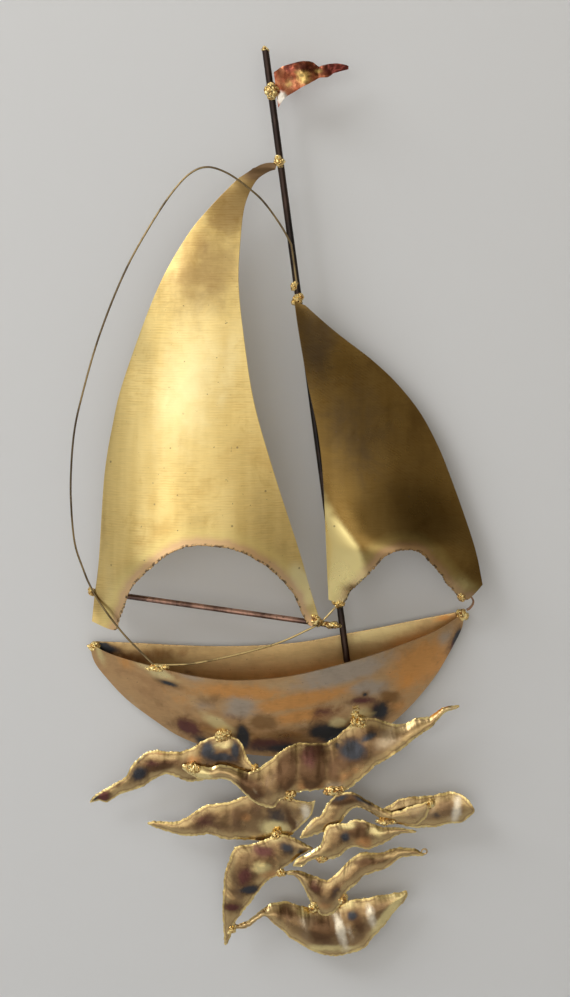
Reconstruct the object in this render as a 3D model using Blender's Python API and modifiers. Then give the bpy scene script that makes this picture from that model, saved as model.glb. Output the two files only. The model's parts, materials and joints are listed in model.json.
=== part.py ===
"""Wall sculpture: a sheet-brass sailboat riding on torch-cut brass waves.

The work hangs on a wall, which is the plane y = 0, and its front faces -Y.
The hull's flat back plate lies on the wall, with the origin on its back face.
Outlines are drawn in the plane of the wall as (x, z), in millimetres, and a
depth is a distance in front of the wall, so depth 10 is y = -0.010.
"""

import math

import bmesh
import bpy
from mathutils import Vector, noise
from mathutils.bvhtree import BVHTree

# Overall height, from the waves' lowest edge to the mast's top.
WORK_HEIGHT = 0.629
# The outlines below are drawn at this height in millimetres.
DRAWN_HEIGHT = 629.0
MM = WORK_HEIGHT / DRAWN_HEIGHT

# Rods, wire and sheet, each a stock size.
MAST_DIAMETER = 0.00476
BOOM_DIAMETER = 0.00397
WIRE_DIAMETER = 0.0014
SAIL_GAUGE = 0.0007
HULL_GAUGE = 0.0008
WAVE_GAUGE = 0.0008
PENNANT_GAUGE = 0.0005
LINK_GAUGE = 0.0012
LINK_WIDTH = 0.0032

# Gap left between brazed pieces, so that each stays a solid of its own.
GAP = 0.0003

# The hull is a pocket: its front plate leans out from the keel by this much.
HULL_FLARE = 0.042
HULL_BOW = 0.003
# A wave clears the hull's plate by this much where it crosses it.
WAVE_OFF_HULL = 0.001
# The mast and boom stand this far in front of the wall.
MAST_STANDOFF = 0.016

# Depths that follow from the sizes above.
KEEL_DEPTH = HULL_GAUGE + GAP
MAST_FRONT = MAST_STANDOFF + MAST_DIAMETER / 2
BOOM_FRONT = MAST_STANDOFF + BOOM_DIAMETER / 2
WIRE_BEHIND_SAIL = BOOM_FRONT + GAP + WIRE_DIAMETER / 2
SAIL_PLANE = WIRE_BEHIND_SAIL + WIRE_DIAMETER / 2 + GAP
JIB_PLANE = max(SAIL_PLANE, MAST_FRONT + GAP)

# Mast and boom ends.
MAST_TOP = (-6, 443.5)
MAST_FOOT = (54, 0)
BOOM_AFT = (-125.5, 80)
BOOM_FORE = (42.5, 56)

# Hull outline: back plate's rim, front plate's rim and the keel they share.
BACK_RIM = [
    (-127, 42), (-101, 41), (-61, 39), (-33, 38.5), (-3, 39.5), (22, 42),
    (45, 46.5), (69, 51), (98, 57), (131, 63.5),
]
FRONT_RIM = [
    (-127, 41), (-118, 36.5), (-100, 32.5), (-76, 28.5), (-54, 25), (-28, 23.5),
    (4, 26), (31, 31), (63, 38.5), (90, 46), (112, 53), (131, 62.5),
]
KEEL = [
    (-128, 37), (-125, 27), (-116, 15), (-103, 1), (-85, -13), (-67, -25),
    (-46, -33), (-19, -38), (8, -39.5), (39, -35), (60, -28.5), (77, -19.5),
    (95, -3), (111, 17), (122, 36), (130, 52),
]

# Mainsail edges as (x, z, depth before the sail plane), foot to head.
MAIN_LEECH = [
    (-125, 60, 0.7), (-123, 77, 1), (-119.5, 102, 3), (-115, 160, 6),
    (-109, 195, 7), (-101, 226, 7), (-79, 284, 6), (-59, 320, 5),
    (-42, 341, 4), (-23, 360, 2),
]
MAIN_LUFF = [
    (30, 62.5, 0.7), (23, 86, 2), (16, 111, 4), (-1, 165, 7), (-14, 212, 8),
    (-21, 258, 8), (-24, 290, 7), (-23, 316, 5.5), (-20, 341, 3),
    (-13, 357, 1), (-5, 363.5, -1), (0.5, 365.5, -3),
]
MAIN_FOOT = [
    (-125, 60, 0.7), (-110, 54, 0.7), (-106, 62, 2), (-101, 77, 8), (-96, 87, 13),
    (-87, 97, 18), (-77, 106, 22), (-65, 113.5, 25), (-50, 116.5, 27),
    (-30, 114, 26), (-17, 108.5, 24), (-5, 100.5, 20), (5, 90.5, 14),
    (13, 80, 8), (17.5, 69, 3), (24.5, 56.5, 0.7), (30, 62.5, 0.7),
]
MAIN_HEAD = [(-23, 360, 2), (-9, 368.5, -0.5), (0.5, 369.5, -3), (0.5, 365.5, -3)]

# Jib edges as (x, z, depth before the jib's plane), foot to head.
JIB_LUFF = [
    (37, 75, 0.5), (35.5, 110, 2), (34, 141, 3), (32, 169, 3.5), (28.5, 195, 3.5),
    (22.5, 223, 3), (18.5, 245, 2), (15.5, 263, 1), (13.5, 278, 0.3),
]
JIB_LEECH = [
    (143, 84, -7), (138, 106, -5), (130, 131, -3.5), (119, 161, -2),
    (111, 180, -1), (99, 202, 0), (83, 222, 1), (66, 238, 1.5),
    (49, 251, 1.5), (37, 260.5, 1), (20, 275.5, 0.5),
]
JIB_FOOT = [
    (37, 75, 0.5), (47, 73, 0.7), (51, 81, 4), (56, 87, 8), (68, 101, 15),
    (75, 108.5, 18), (84, 112, 19), (96, 111, 18), (104, 104, 14), (112, 95, 9),
    (120, 84, 3), (131, 74, -4.5), (143, 84, -7),
]
JIB_HEAD = [(13.5, 278, 0.3), (20, 275.5, 0.5)]

# Pennant edges, from the mast to the twisted tip, with the depths before the
# mast's axis along each.
PENNANT_TOP = [
    (-0.3, 429), (5, 432), (10, 433.5), (16, 435), (21, 435.5), (25, 435),
    (29, 432.5), (32, 433), (36, 434), (42, 434.5), (49, 433),
]
PENNANT_BOTTOM = [
    (2.6, 406), (6, 411), (9, 413.5), (13, 415.5), (18, 418.5), (22, 420.5),
    (26, 423), (30, 425), (35, 425.5), (40, 428.5), (49, 430.8),
]
PENNANT_TOP_DEPTHS = (0, 4, 7, 6, 2, 1, 2, 1)
PENNANT_BOTTOM_DEPTHS = (1, 2, 6, 7, 4, 3, 1, 1)

# Wires, as (x, z, depth). The shroud runs from the mast round to the hull's rim.
SHROUD_ROUTE = [
    (10, 318, 3), (3, 330, 6), (-8, 344.5, 10), (-19, 354, 12), (-29, 361, 14),
    (-38, 365, 14), (-45, 366, 14), (-52, 364, 14), (-60, 358, 14), (-70, 346, 14),
    (-82, 328, 14), (-96, 304, 13), (-108, 278, 12), (-119, 249, 11),
    (-128, 219, 10), (-134.5, 193, 9), (-137.5, 166, 8), (-138, 142, 7),
    (-136, 115, 4), (-131, 97, 1.5), (-125.5, 83.5, 1.5), (-116, 69, 6),
    (-102, 51, 7),
]
SHROUD_LEAVES_MAST = 312
SHROUD_END_ON_MAST = 290
SHEET_ROUTE = [(-58, 31.5, 8), (-37, 35, 6), (-17, 39.5, 4), (4, 45.5, 2), (21, 53, 0.5)]
RIM_JOINT = (-81, 30.5)
# The strip between jib and bow, as (x, z, depth before the jib's plane).
LINK_ROUTE = [
    (130, 77, -6.3), (133.5, 76, -7.5), (136, 73, -9), (136, 70, -10.5), (134, 67, -12),
    (132.5, 66, -13),
]

# Waves: upper and lower edge, then the depths along them before the plane
# in which the first wave leaves the hull.
WAVES = {
    "wave_upper_left": {
        "upper": [
            (-129, -69), (-124, -63), (-117, -59), (-109, -54.5), (-103, -50),
            (-100, -43), (-93, -36), (-83, -31.5), (-72, -33), (-59, -31),
            (-49, -24.5), (-37, -21), (-29, -22), (-23, -27), (-19, -37), (-13, -46),
        ],
        "lower": [
            (-129, -71), (-122, -69.5), (-117, -70.5), (-109, -65), (-100, -62),
            (-92, -59), (-80, -51), (-72, -50.5), (-60, -55), (-49, -54),
            (-37, -51), (-24, -51), (-13, -48),
        ],
        "upper_depths": (-2, 0, 1, 0.5, 0.5, 1),
        "lower_depths": (-2, -1, 0.5, 1, 1, 1),
        "crown": 1.5,
    },
    "wave_upper_right": {
        "upper": [
            (-64, -41), (-56, -41), (-46, -43), (-37, -41), (-28, -43), (-17, -46),
            (-5, -39), (6, -30.5), (15, -26.5), (26, -26), (34, -26.5), (42, -22.5),
            (54, -12), (60, -9), (67, -9), (75, -11), (88, -13), (98, -8.5),
            (108, -6.5), (116, -1), (127, 1.5),
        ],
        "lower": [
            (-64, -45), (-52, -52), (-35, -52), (-28, -55), (-22, -61), (-14, -68),
            (-8, -71), (-1, -71.5), (4, -66), (12, -62.5), (22, -60), (33, -59),
            (48, -60), (58, -53), (71, -41.5), (86, -32), (97, -23), (109, -14),
            (117, -5), (127, -1),
        ],
        "upper_depths": (4.5, 5.5, 5, 3, 1, 0.7, 3, 6),
        "lower_depths": (4.5, 6.5, 8, 8, 7, 7, 6, 6),
        "crown": 2.5,
    },
    "wave_middle_left": {
        "upper": [
            (-89, -85), (-83, -83.5), (-70, -83.5), (-62, -80.5), (-54, -75),
            (-46, -71), (-32, -69), (-21, -65), (-9, -62), (4, -63), (14, -66),
            (22, -67.5), (28, -66.5),
        ],
        "lower": [
            (-89, -87), (-81, -90), (-72, -93), (-62, -95), (-45, -94), (-34, -97),
            (-16, -98), (0, -99), (9, -96), (15, -90), (20, -84.5), (25, -79),
        ],
        "upper_depths": (-3, -1.5, -1, -1, 2, 5),
        "lower_depths": (-3, -2, -1.5, -1.5, -0.5, 3),
        "crown": 1.5,
    },
    "wave_arch": {
        "upper": [
            (17, -93), (21, -86), (26.5, -80), (32, -77), (37, -68), (44, -62),
            (52, -61), (58, -63), (64, -67), (71, -70.5), (76, -73.5), (80, -75),
            (88, -74), (95, -71), (109, -67),
        ],
        "lower": [
            (19, -95.5), (26, -93), (35, -90), (44, -86), (52, -76), (56, -73),
            (62, -74), (69, -78), (77, -83), (85, -85), (97, -86), (105, -81),
        ],
        "upper_depths": (4, 3.5, 3, 3, 3, 2.5),
        "lower_depths": (4, 4, 3, 3, 3, 2.5),
        "crown": 1,
    },
    "wave_middle_right": {
        "upper": [
            (75, -75), (80, -72), (87, -67.5), (94, -66), (101, -65.5), (109, -65),
            (121, -62), (128, -63), (134, -66.5), (138.5, -73),
        ],
        "lower": [
            (76, -79), (86, -86), (99, -89), (113, -88), (120, -86), (126, -85.5),
            (132, -84), (139, -77),
        ],
        "upper_depths": (-2, -2, -1, 1),
        "lower_depths": (-2, -2, -1, 0),
        "crown": 2,
    },
    "wave_centre_right": {
        "upper": [
            (13, -112), (15, -108), (20, -105.5), (26, -102), (32, -97), (34, -90),
            (37, -83.5), (49, -82), (54, -79.5), (61, -80), (70, -84), (78, -85.5),
            (88, -86), (98, -88),
        ],
        "lower": [
            (13, -114), (19, -114), (27, -108.5), (38, -109), (44, -107), (52, -101),
            (57, -100), (65, -102), (73, -99), (80, -95.5), (88, -91), (98, -90),
        ],
        "upper_depths": (7, 7, 7, 7, 6, 6),
        "lower_depths": (7, 8, 7.5, 7, 6, 6),
        "crown": 1.5,
    },
    "wave_lower_left": {
        "upper": [
            (26, -101), (20, -97.5), (13, -93.5), (6, -91.5), (0, -92), (-8, -95.5),
            (-17, -98.5), (-25, -99), (-29, -101.5), (-33, -111), (-35.5, -120),
            (-36.5, -130), (-37, -144), (-36.5, -156), (-36, -171),
        ],
        "lower": [
            (26, -102.5), (18, -107), (12, -112), (6, -116), (3, -120.5), (-4, -124.5),
            (-9, -129), (-15, -138), (-22, -147.5), (-27, -154), (-30, -163),
            (-33.5, -172),
        ],
        "upper_depths": (3.5, 3.5, 4, 4, 4, 3.5),
        "lower_depths": (3.5, 4, 4.5, 5, 4.5, 3.5),
        "crown": 2,
    },
    "wave_lower_right": {
        "upper": [
            (6, -118.5), (15, -118), (22, -119.5), (28, -122), (36, -125), (43, -120.5),
            (51, -112), (57, -106.5), (62, -104.5), (75, -105), (81, -102.5),
            (90, -101.5), (98, -102.5), (104, -106),
        ],
        "lower": [
            (6, -121), (15, -123), (20, -130.5), (25, -142), (30, -149), (36, -152),
            (42, -149), (46, -142), (50, -134), (56, -129), (61, -123), (67, -120.5),
            (78, -117), (88, -109.5), (104, -108.5),
        ],
        "upper_depths": (2, 1.5, 1, 2, 1, 0.5),
        "lower_depths": (2, 2.5, 1, 2, 1, 0.5),
        "crown": 2,
    },
    "wave_bottom": {
        "upper": [
            (-28, -158), (-20, -155.5), (-12, -150), (-6, -145), (0, -142.5),
            (7, -142), (18, -145), (28, -147.5), (39, -147), (49, -143), (56, -140),
            (65, -139), (72, -137), (80, -136), (92, -133),
        ],
        "lower": [
            (-28, -161), (-20, -161), (-12, -155.5), (-6, -152.5), (-1, -158),
            (5, -163), (11, -169), (20, -175), (29, -180), (40, -183), (50, -182),
            (63, -177), (68, -170), (76, -161), (84, -150), (90, -143), (93, -138),
        ],
        "upper_depths": (0.5, -2.5, -3.5, -3.5, -2, -1),
        "lower_depths": (0.5, -1.5, -2.5, -2.5, -2, -1),
        "crown": 4,
    },
}
HULL_JOINT_UPPER_LEFT = (-36, -22)

# Lumps of brazing metal: a point as (x, z, depth), which is moved on to the
# nearest place on the first piece named, then half sizes across, up and deep,
# and the pieces that the lump joins.
BRAZES = {
    "braze_mast_top": ((-6, 445, 16), (3.2, 3.2, 3.2), ("mast",)),
    "braze_pennant": ((-1.5, 417, 21), (7, 6.5, 4.5), ("mast", "pennant")),
    "braze_main_head": ((3, 370.5, 19), (4, 3.5, 3.5), ("mast", "mainsail")),
    "braze_shroud_head": ((11.5, 288, 19), (3.2, 3.2, 3.2), ("mast", "shroud_wire")),
    "braze_jib_head": ((15, 279, 19), (4.2, 4, 3.8), ("mast", "jib")),
    "braze_boom_aft": ((-126, 80, 18), (3, 3, 5), ("boom", "shroud_wire", "mainsail")),
    "braze_rim": ((-81, 29, 29), (7, 2.8, 3), ("hull_front_plate", "shroud_wire", "sheet_wire")),
    "braze_main_tack": ((29, 60, 21), (4, 3.8, 3.8), ("mainsail", "sheet_wire", "boom")),
    "braze_jib_tack": ((43, 72.5, 20), (4, 4.2, 4.2), ("mast", "sheet_wire", "jib")),
    "braze_boom_fore": ((39.5, 57, 18.5), (6, 3, 3.2), ("boom", "mast")),
    "braze_mast_foot": ((54, 0, 10), (8, 7, 9.5), ("mast", "hull_back_plate", "hull_front_plate")),
    "braze_jib_clew": ((128, 76, 14), (3.2, 3, 3.2), ("jib", "bow_link")),
    "braze_bow": ((130, 62, 4), (3.8, 4.5, 3.6), ("hull_front_plate", "hull_back_plate", "bow_link")),
    "braze_stern": ((-126, 38.5, 3), (5, 2.8, 2.8), ("hull_front_plate", "hull_back_plate")),
    "braze_hull_left": ((-36.5, -21.5, 15), (6.5, 5, 3.4), ("wave_upper_left", "hull_front_plate")),
    "braze_hull_right": ((57, -11, 15), (6, 4.5, 4.5), ("wave_upper_right", "hull_front_plate")),
    "braze_seam_left": ((-57, -44, 18), (4.5, 4.5, 4), ("wave_upper_right", "wave_upper_left")),
    "braze_seam_right": ((-13.5, -46, 15), (3.5, 3.5, 4), ("wave_upper_left", "wave_upper_right")),
    "braze_arch_top": ((41, -60, 20), (7, 4, 5), ("wave_upper_right", "wave_arch")),
    "braze_flap": ((10, -65, 18), (4, 4, 5), ("wave_upper_right", "wave_middle_left")),
    "braze_lower_left": ((1, -93, 15), (3.8, 3.8, 4), ("wave_lower_left", "wave_middle_left")),
    "braze_lower_pair": ((3.5, -119.5, 16), (3.6, 3.6, 3.2), ("wave_lower_left", "wave_lower_right")),
    "braze_centre": ((76, -86, 18), (6, 3.2, 4), ("wave_arch", "wave_centre_right")),
    "braze_centre_fold": ((32, -108, 20), (3.5, 3.5, 2.8), ("wave_centre_right",)),
    "braze_right_tail": ((108, -70, 14), (3.5, 3.5, 4), ("wave_arch", "wave_middle_right")),
    "braze_bottom_left": ((-30, -160, 15), (3.5, 4, 3.5), ("wave_lower_left", "wave_bottom")),
    "braze_bottom_middle": ((25, -146, 13), (4.5, 3.5, 3.5), ("wave_lower_right", "wave_bottom")),
    "braze_bottom_right": ((48, -140, 13), (4, 3.5, 3.5), ("wave_lower_right", "wave_bottom")),
}


def make_material(name, colour, roughness, metallic=1.0):
    material = bpy.data.materials.new(name)
    material.use_nodes = True
    shader = material.node_tree.nodes["Principled BSDF"]
    shader.inputs["Base Color"].default_value = (*colour, 1)
    shader.inputs["Roughness"].default_value = roughness
    shader.inputs["Metallic"].default_value = metallic
    return material


def at(x, z, depth):
    """A drawn point in millimetres, with its depth in metres, as a place in space."""
    return Vector((x * MM, -depth, z * MM))


def along(line, fraction):
    """The value at a fraction of a smooth run through evenly spaced values."""
    place = max(0.0, min(1.0, fraction)) * (len(line) - 1)
    index = min(int(place), len(line) - 2)
    t = place - index
    before, here = line[max(index - 1, 0)], line[index]
    after, beyond = line[index + 1], line[min(index + 2, len(line) - 1)]
    return (
        here * (2 * t**3 - 3 * t**2 + 1)
        + after * (3 * t**2 - 2 * t**3)
        + (after - before) * 0.5 * (t**3 - 2 * t**2 + t)
        + (beyond - here) * 0.5 * (t**3 - t**2)
    )


def even_line(points, count):
    """Evenly spaced points along the smooth curve through some given points."""
    fine = [along(points, i / 400) for i in range(401)]
    lengths = [0.0]
    for first, second in zip(fine, fine[1:]):
        lengths.append(lengths[-1] + (second - first).length)
    line = []
    step = 0
    for i in range(count + 1):
        goal = lengths[-1] * i / count
        while step < 399 and lengths[step + 1] < goal:
            step += 1
        span = max(lengths[step + 1] - lengths[step], 1e-9)
        line.append(fine[step].lerp(fine[step + 1], min((goal - lengths[step]) / span, 1.0)))
    return line


def add_object(name, mesh, material):
    obj = bpy.data.objects.new(name, mesh)
    obj.data.materials.append(material)
    sculpture.objects.link(obj)
    return obj


def shade_round(mesh, angle=40):
    mesh.shade_smooth()
    mesh.set_sharp_from_angle(angle=math.radians(angle))


def add_sheet(name, place, across, up, gauge, material):
    """A sheet whose back face is a grid moved to place(u, v), thickened forwards."""
    bm = bmesh.new()
    bmesh.ops.create_grid(bm, x_segments=across, y_segments=up, size=0.5)
    for vert in bm.verts:
        vert.co = place(round((vert.co.x + 0.5) * across), round((vert.co.y + 0.5) * up))
    bmesh.ops.recalc_face_normals(bm, faces=bm.faces)
    if sum(face.normal.y * face.calc_area() for face in bm.faces) > 0:
        bmesh.ops.reverse_faces(bm, faces=bm.faces)
    mesh = bpy.data.meshes.new(name)
    bm.to_mesh(mesh)
    bm.free()
    shade_round(mesh)
    obj = add_object(name, mesh, material)
    skin = obj.modifiers.new("Gauge", "SOLIDIFY")
    skin.thickness = gauge
    skin.offset = 1
    return obj


def add_sail(name, luff, leech, foot, head, plane, across, up):
    """A sail filled in between its four edges, which are drawn with their depths."""
    def edge(points, count):
        return even_line([at(x, z, plane + d * MM) for x, z, d in points], count)

    left, right = edge(luff, up), edge(leech, up)
    bottom, top = edge(foot, across), edge(head, across)

    def place(i, j):
        u, v = i / across, j / up
        arch = bottom[i] - bottom[0].lerp(bottom[-1], u)
        peak = top[i] - top[0].lerp(top[-1], u)
        belly = Vector((0, arch.y * (1 - v), 0))
        arch.y = 0
        return left[j].lerp(right[j], u) + arch * (1 - v) ** 3 + belly + peak * v**12

    return add_sheet(name, place, across, up, SAIL_GAUGE, brass_sail)


def add_ribbon(
    name, upper, lower, upper_depth, lower_depth, crown, across, up, gauge, material,
    least_depth=None,
):
    """A strip of sheet between an upper and a lower edge, crowned towards the front."""
    top = even_line([at(x, z, 0) for x, z in upper], across)
    bottom = even_line([at(x, z, 0) for x, z in lower], across)

    def place(i, j):
        u, v = i / across, j / up
        point = bottom[i].lerp(top[i], v)
        depth = lower_depth(u) * (1 - v) + upper_depth(u) * v
        depth += crown * math.sin(math.pi * v) * max(math.sin(math.pi * u), 0) ** 0.5
        if least_depth:
            depth = max(depth, least_depth(point))
        point.y = -depth
        return point

    return add_sheet(name, place, across, up, gauge, material)


def add_rod(name, points, diameter, material, resolution=4):
    """A straight or bent round rod through some points, with closed ends."""
    curve = bpy.data.curves.new(name, "CURVE")
    curve.dimensions = "3D"
    curve.bevel_depth = diameter / 2
    curve.bevel_resolution = resolution
    curve.use_fill_caps = True
    spline = curve.splines.new("POLY")
    spline.points.add(len(points) - 1)
    for spline_point, point in zip(spline.points, points):
        spline_point.co = (*point, 1)
    rod = bpy.data.objects.new(name, curve)
    sculpture.objects.link(rod)
    mesh = solid_mesh(rod, name)
    bpy.data.objects.remove(rod, do_unlink=True)
    shade_round(mesh)
    return add_object(name, mesh, material)


def solid_mesh(obj, name):
    """The evaluated shape of an object as a closed mesh."""
    bpy.context.view_layer.update()
    depsgraph = bpy.context.evaluated_depsgraph_get()
    mesh = bpy.data.meshes.new_from_object(obj.evaluated_get(depsgraph))
    mesh.name = name
    bm = bmesh.new()
    bm.from_mesh(mesh)
    bmesh.ops.remove_doubles(bm, verts=bm.verts, dist=0.000001)
    bm.to_mesh(mesh)
    bm.free()
    return mesh


def grown_cutter(obj):
    """A copy of a piece that is larger all round by the brazing gap."""
    mesh = solid_mesh(obj, "around_" + obj.name)
    bm = bmesh.new()
    bm.from_mesh(mesh)
    bm.normal_update()
    moved = [
        vert.co + vert.normal * GAP * min(vert.calc_shell_factor(), 1.5) for vert in bm.verts
    ]
    for vert, place in zip(bm.verts, moved):
        vert.co = place
    bm.to_mesh(mesh)
    bm.free()
    cutter = bpy.data.objects.new("around_" + obj.name, mesh)
    cutter.hide_render = True
    cutter.display_type = "WIRE"
    cutters.objects.link(cutter)
    return cutter


def keep_largest(bm):
    """Leaves only the largest separate body of a mesh."""
    left = set(bm.faces)
    bodies = []
    while left:
        body, queue = set(), [left.pop()]
        while queue:
            face = queue.pop()
            body.add(face)
            for edge in face.edges:
                for other in edge.link_faces:
                    if other in left:
                        left.remove(other)
                        queue.append(other)
        bodies.append(body)
    largest = max(bodies, key=lambda body: sum(face.calc_area() for face in body))
    spare = [face for body in bodies if body is not largest for face in body]
    bmesh.ops.delete(bm, geom=spare, context="FACES")


def clean_lump(mesh):
    """Leaves a single body without slivers."""
    bm = bmesh.new()
    bm.from_mesh(mesh)
    keep_largest(bm)
    bmesh.ops.remove_doubles(bm, verts=bm.verts, dist=GAP / 5)
    bmesh.ops.dissolve_degenerate(bm, edges=bm.edges, dist=GAP / 5)
    keep_largest(bm)
    bm.to_mesh(mesh)
    bm.free()


def add_braze(name, point, half_sizes, joined):
    """A lump of brazing metal that closes round the pieces it joins."""
    x, z, depth = point
    drawn = at(x, z, depth * MM)
    tree = BVHTree.FromObject(bpy.data.objects[joined[0]], bpy.context.evaluated_depsgraph_get())
    centre = tree.find_nearest(drawn)[0]
    bm = bmesh.new()
    bmesh.ops.create_icosphere(bm, subdivisions=2, radius=1)
    across, up, deep = (size * MM for size in half_sizes)
    for vert in bm.verts:
        swell = 1 + 0.16 * noise.noise(vert.co * 1.4 + drawn * 100)
        vert.co = centre + Vector((vert.co.x * across, vert.co.y * deep, vert.co.z * up)) * swell
        vert.co.y = min(vert.co.y, -GAP)
    mesh = bpy.data.meshes.new(name)
    bm.to_mesh(mesh)
    bm.free()
    lump = add_object(name, mesh, brass_bead)
    for other in joined:
        cut = lump.modifiers.new("Around " + other, "BOOLEAN")
        cut.object = grown_cutters[other]
        cut.solver = "EXACT"
        cut.use_self = True
    shaped = solid_mesh(lump, name)
    clean_lump(shaped)
    shade_round(shaped, 50)
    lump.modifiers.clear()
    lump.data = shaped
    return lump


for existing in list(bpy.data.objects):
    bpy.data.objects.remove(existing, do_unlink=True)

sculpture = bpy.data.collections.new("sailboat_wall_sculpture")
cutters = bpy.data.collections.new("cutters")
bpy.context.scene.collection.children.link(sculpture)
bpy.context.scene.collection.children.link(cutters)

brass_sail = make_material("brass_sail", (0.72, 0.53, 0.22), 0.32)
brass_hull = make_material("brass_hull", (0.62, 0.42, 0.22), 0.35)
brass_wave = make_material("brass_wave", (0.55, 0.40, 0.20), 0.38)
brass_bead = make_material("brass_bead", (0.85, 0.66, 0.28), 0.25)
dark_rod = make_material("dark_rod", (0.16, 0.09, 0.06), 0.35)
wire_metal = make_material("wire_metal", (0.42, 0.34, 0.20), 0.4)
copper_flag = make_material("copper_flag", (0.62, 0.22, 0.12), 0.3)

# Hull: a flat back plate, and a front plate that leans out from the keel.
back_outline = [at(x, z, 0) for x, z in BACK_RIM]
back_outline += [at(x, z, 0) for x, z in reversed(KEEL)]
curve = bpy.data.curves.new("hull_back_plate", "CURVE")
curve.dimensions = "2D"
curve.fill_mode = "BOTH"
curve.extrude = HULL_GAUGE / 2
spline = curve.splines.new("POLY")
spline.points.add(len(back_outline) - 1)
for spline_point, point in zip(spline.points, back_outline):
    spline_point.co = (point.x, point.z, 0, 1)
spline.use_cyclic_u = True
outline = bpy.data.objects.new("hull_back_plate", curve)
outline.rotation_euler = (math.radians(90), 0, 0)
outline.location = (0, -HULL_GAUGE / 2, 0)
sculpture.objects.link(outline)
plate_mesh = solid_mesh(outline, "hull_back_plate")
plate_mesh.transform(outline.matrix_world)
bpy.data.objects.remove(outline, do_unlink=True)
add_object("hull_back_plate", plate_mesh, brass_hull)


def rim_depth(u):
    return KEEL_DEPTH + HULL_FLARE * max(math.sin(math.pi * u), 0) ** 0.8


add_ribbon(
    "hull_front_plate", FRONT_RIM, KEEL, rim_depth, lambda u: KEEL_DEPTH,
    HULL_BOW, 22, 3, HULL_GAUGE, brass_hull,
)

# Mast and boom.
mast_top = at(*MAST_TOP, MAST_STANDOFF)
mast_foot = at(*MAST_FOOT, MAST_STANDOFF)
add_rod("mast", [mast_top, mast_foot], MAST_DIAMETER, dark_rod)
add_rod(
    "boom", [at(*BOOM_AFT, MAST_STANDOFF), at(*BOOM_FORE, MAST_STANDOFF)],
    BOOM_DIAMETER, dark_rod,
)


def mast_place(z, depth):
    """The point on the mast's line at a drawn height, at the given depth."""
    share = (MAST_TOP[1] - z) / (MAST_TOP[1] - MAST_FOOT[1])
    return at(MAST_TOP[0] + (MAST_FOOT[0] - MAST_TOP[0]) * share, z, depth)


# Sails.
add_sail("mainsail", MAIN_LEECH, MAIN_LUFF, MAIN_FOOT, MAIN_HEAD, SAIL_PLANE, 14, 14)
add_sail("jib", JIB_LUFF, JIB_LEECH, JIB_FOOT, JIB_HEAD, JIB_PLANE, 12, 12)

# Pennant, to the right of the mast's top.
add_ribbon(
    "pennant", PENNANT_TOP, PENNANT_BOTTOM,
    lambda u: MAST_STANDOFF + along(PENNANT_TOP_DEPTHS, u) * MM,
    lambda u: MAST_STANDOFF + along(PENNANT_BOTTOM_DEPTHS, u) * MM,
    0.001, 16, 2, PENNANT_GAUGE, copper_flag,
)

# Wires: the shroud and the sheet meet on the hull's front rim.
bpy.context.view_layer.update()
hull_tree = BVHTree.FromObject(
    bpy.data.objects["hull_front_plate"], bpy.context.evaluated_depsgraph_get()
)


def before_hull(x, z, clear):
    """A place in front of the hull's front plate, clear of its outer face."""
    start = at(x, z, 1)
    hit = hull_tree.ray_cast(start, Vector((0, 1, 0)))[0]
    return hit + Vector((0, -clear, 0))


on_mast = MAST_FRONT + GAP + WIRE_DIAMETER / 2
rim_x, rim_z = RIM_JOINT
rim_place = before_hull(rim_x, rim_z - 3, GAP + WIRE_DIAMETER / 2)
shroud = [mast_place(SHROUD_END_ON_MAST, on_mast), mast_place(SHROUD_LEAVES_MAST, on_mast)]
shroud += [at(x, z, SAIL_PLANE + d * MM) for x, z, d in SHROUD_ROUTE]
shroud += [rim_place + Vector((-2 * MM, -0.0005, 4 * MM))]
add_rod("shroud_wire", even_line(shroud, 40), WIRE_DIAMETER, wire_metal, 1)
sheet = [rim_place + Vector((2.5 * MM, 0, 3.5 * MM))]
sheet += [at(x, z, WIRE_BEHIND_SAIL + d * MM) for x, z, d in SHEET_ROUTE]
sheet += [at(31, 58.5, WIRE_BEHIND_SAIL), mast_place(69, on_mast) + Vector((-3.5 * MM, 0, 0))]
add_rod("sheet_wire", even_line(sheet, 14), WIRE_DIAMETER, wire_metal, 1)

# A bent strip ties the jib's fore foot to the bow.
link_line = even_line([at(x, z, JIB_PLANE + d * MM) for x, z, d in LINK_ROUTE], 8)


def link_place(i, j):
    return link_line[i] + Vector((0, LINK_WIDTH * (j - 0.5), 0))


link = add_sheet("bow_link", link_place, 8, 1, LINK_GAUGE, dark_rod)
link.modifiers["Gauge"].offset = 0

# Waves, in planes set off from where the first of them meets the hull. Where one
# passes in front of the hull, it is bent to ride over the plate.
def over_hull(point):
    hit = hull_tree.ray_cast(Vector((point.x, -1, point.z)), Vector((0, 1, 0)))[0]
    return WAVE_OFF_HULL - hit.y if hit else 0


wave_plane = -before_hull(*HULL_JOINT_UPPER_LEFT, GAP).y
for name, wave in WAVES.items():
    add_ribbon(
        name, wave["upper"], wave["lower"],
        lambda u, d=wave["upper_depths"]: wave_plane + along(d, u) * MM,
        lambda u, d=wave["lower_depths"]: wave_plane + along(d, u) * MM,
        wave["crown"] * MM, 20, 2, WAVE_GAUGE, brass_wave, over_hull,
    )

# Brazing.
grown_cutters = {}
for point, sizes, joined in BRAZES.values():
    for other in joined:
        if other not in grown_cutters:
            grown_cutters[other] = grown_cutter(bpy.data.objects[other])
for name, (point, sizes, joined) in BRAZES.items():
    add_braze(name, point, sizes, joined)
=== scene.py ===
import json
import math
from bisect import bisect

import bmesh
import bpy
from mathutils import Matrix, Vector, kdtree, noise
from mathutils.bvhtree import BVHTree

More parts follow.
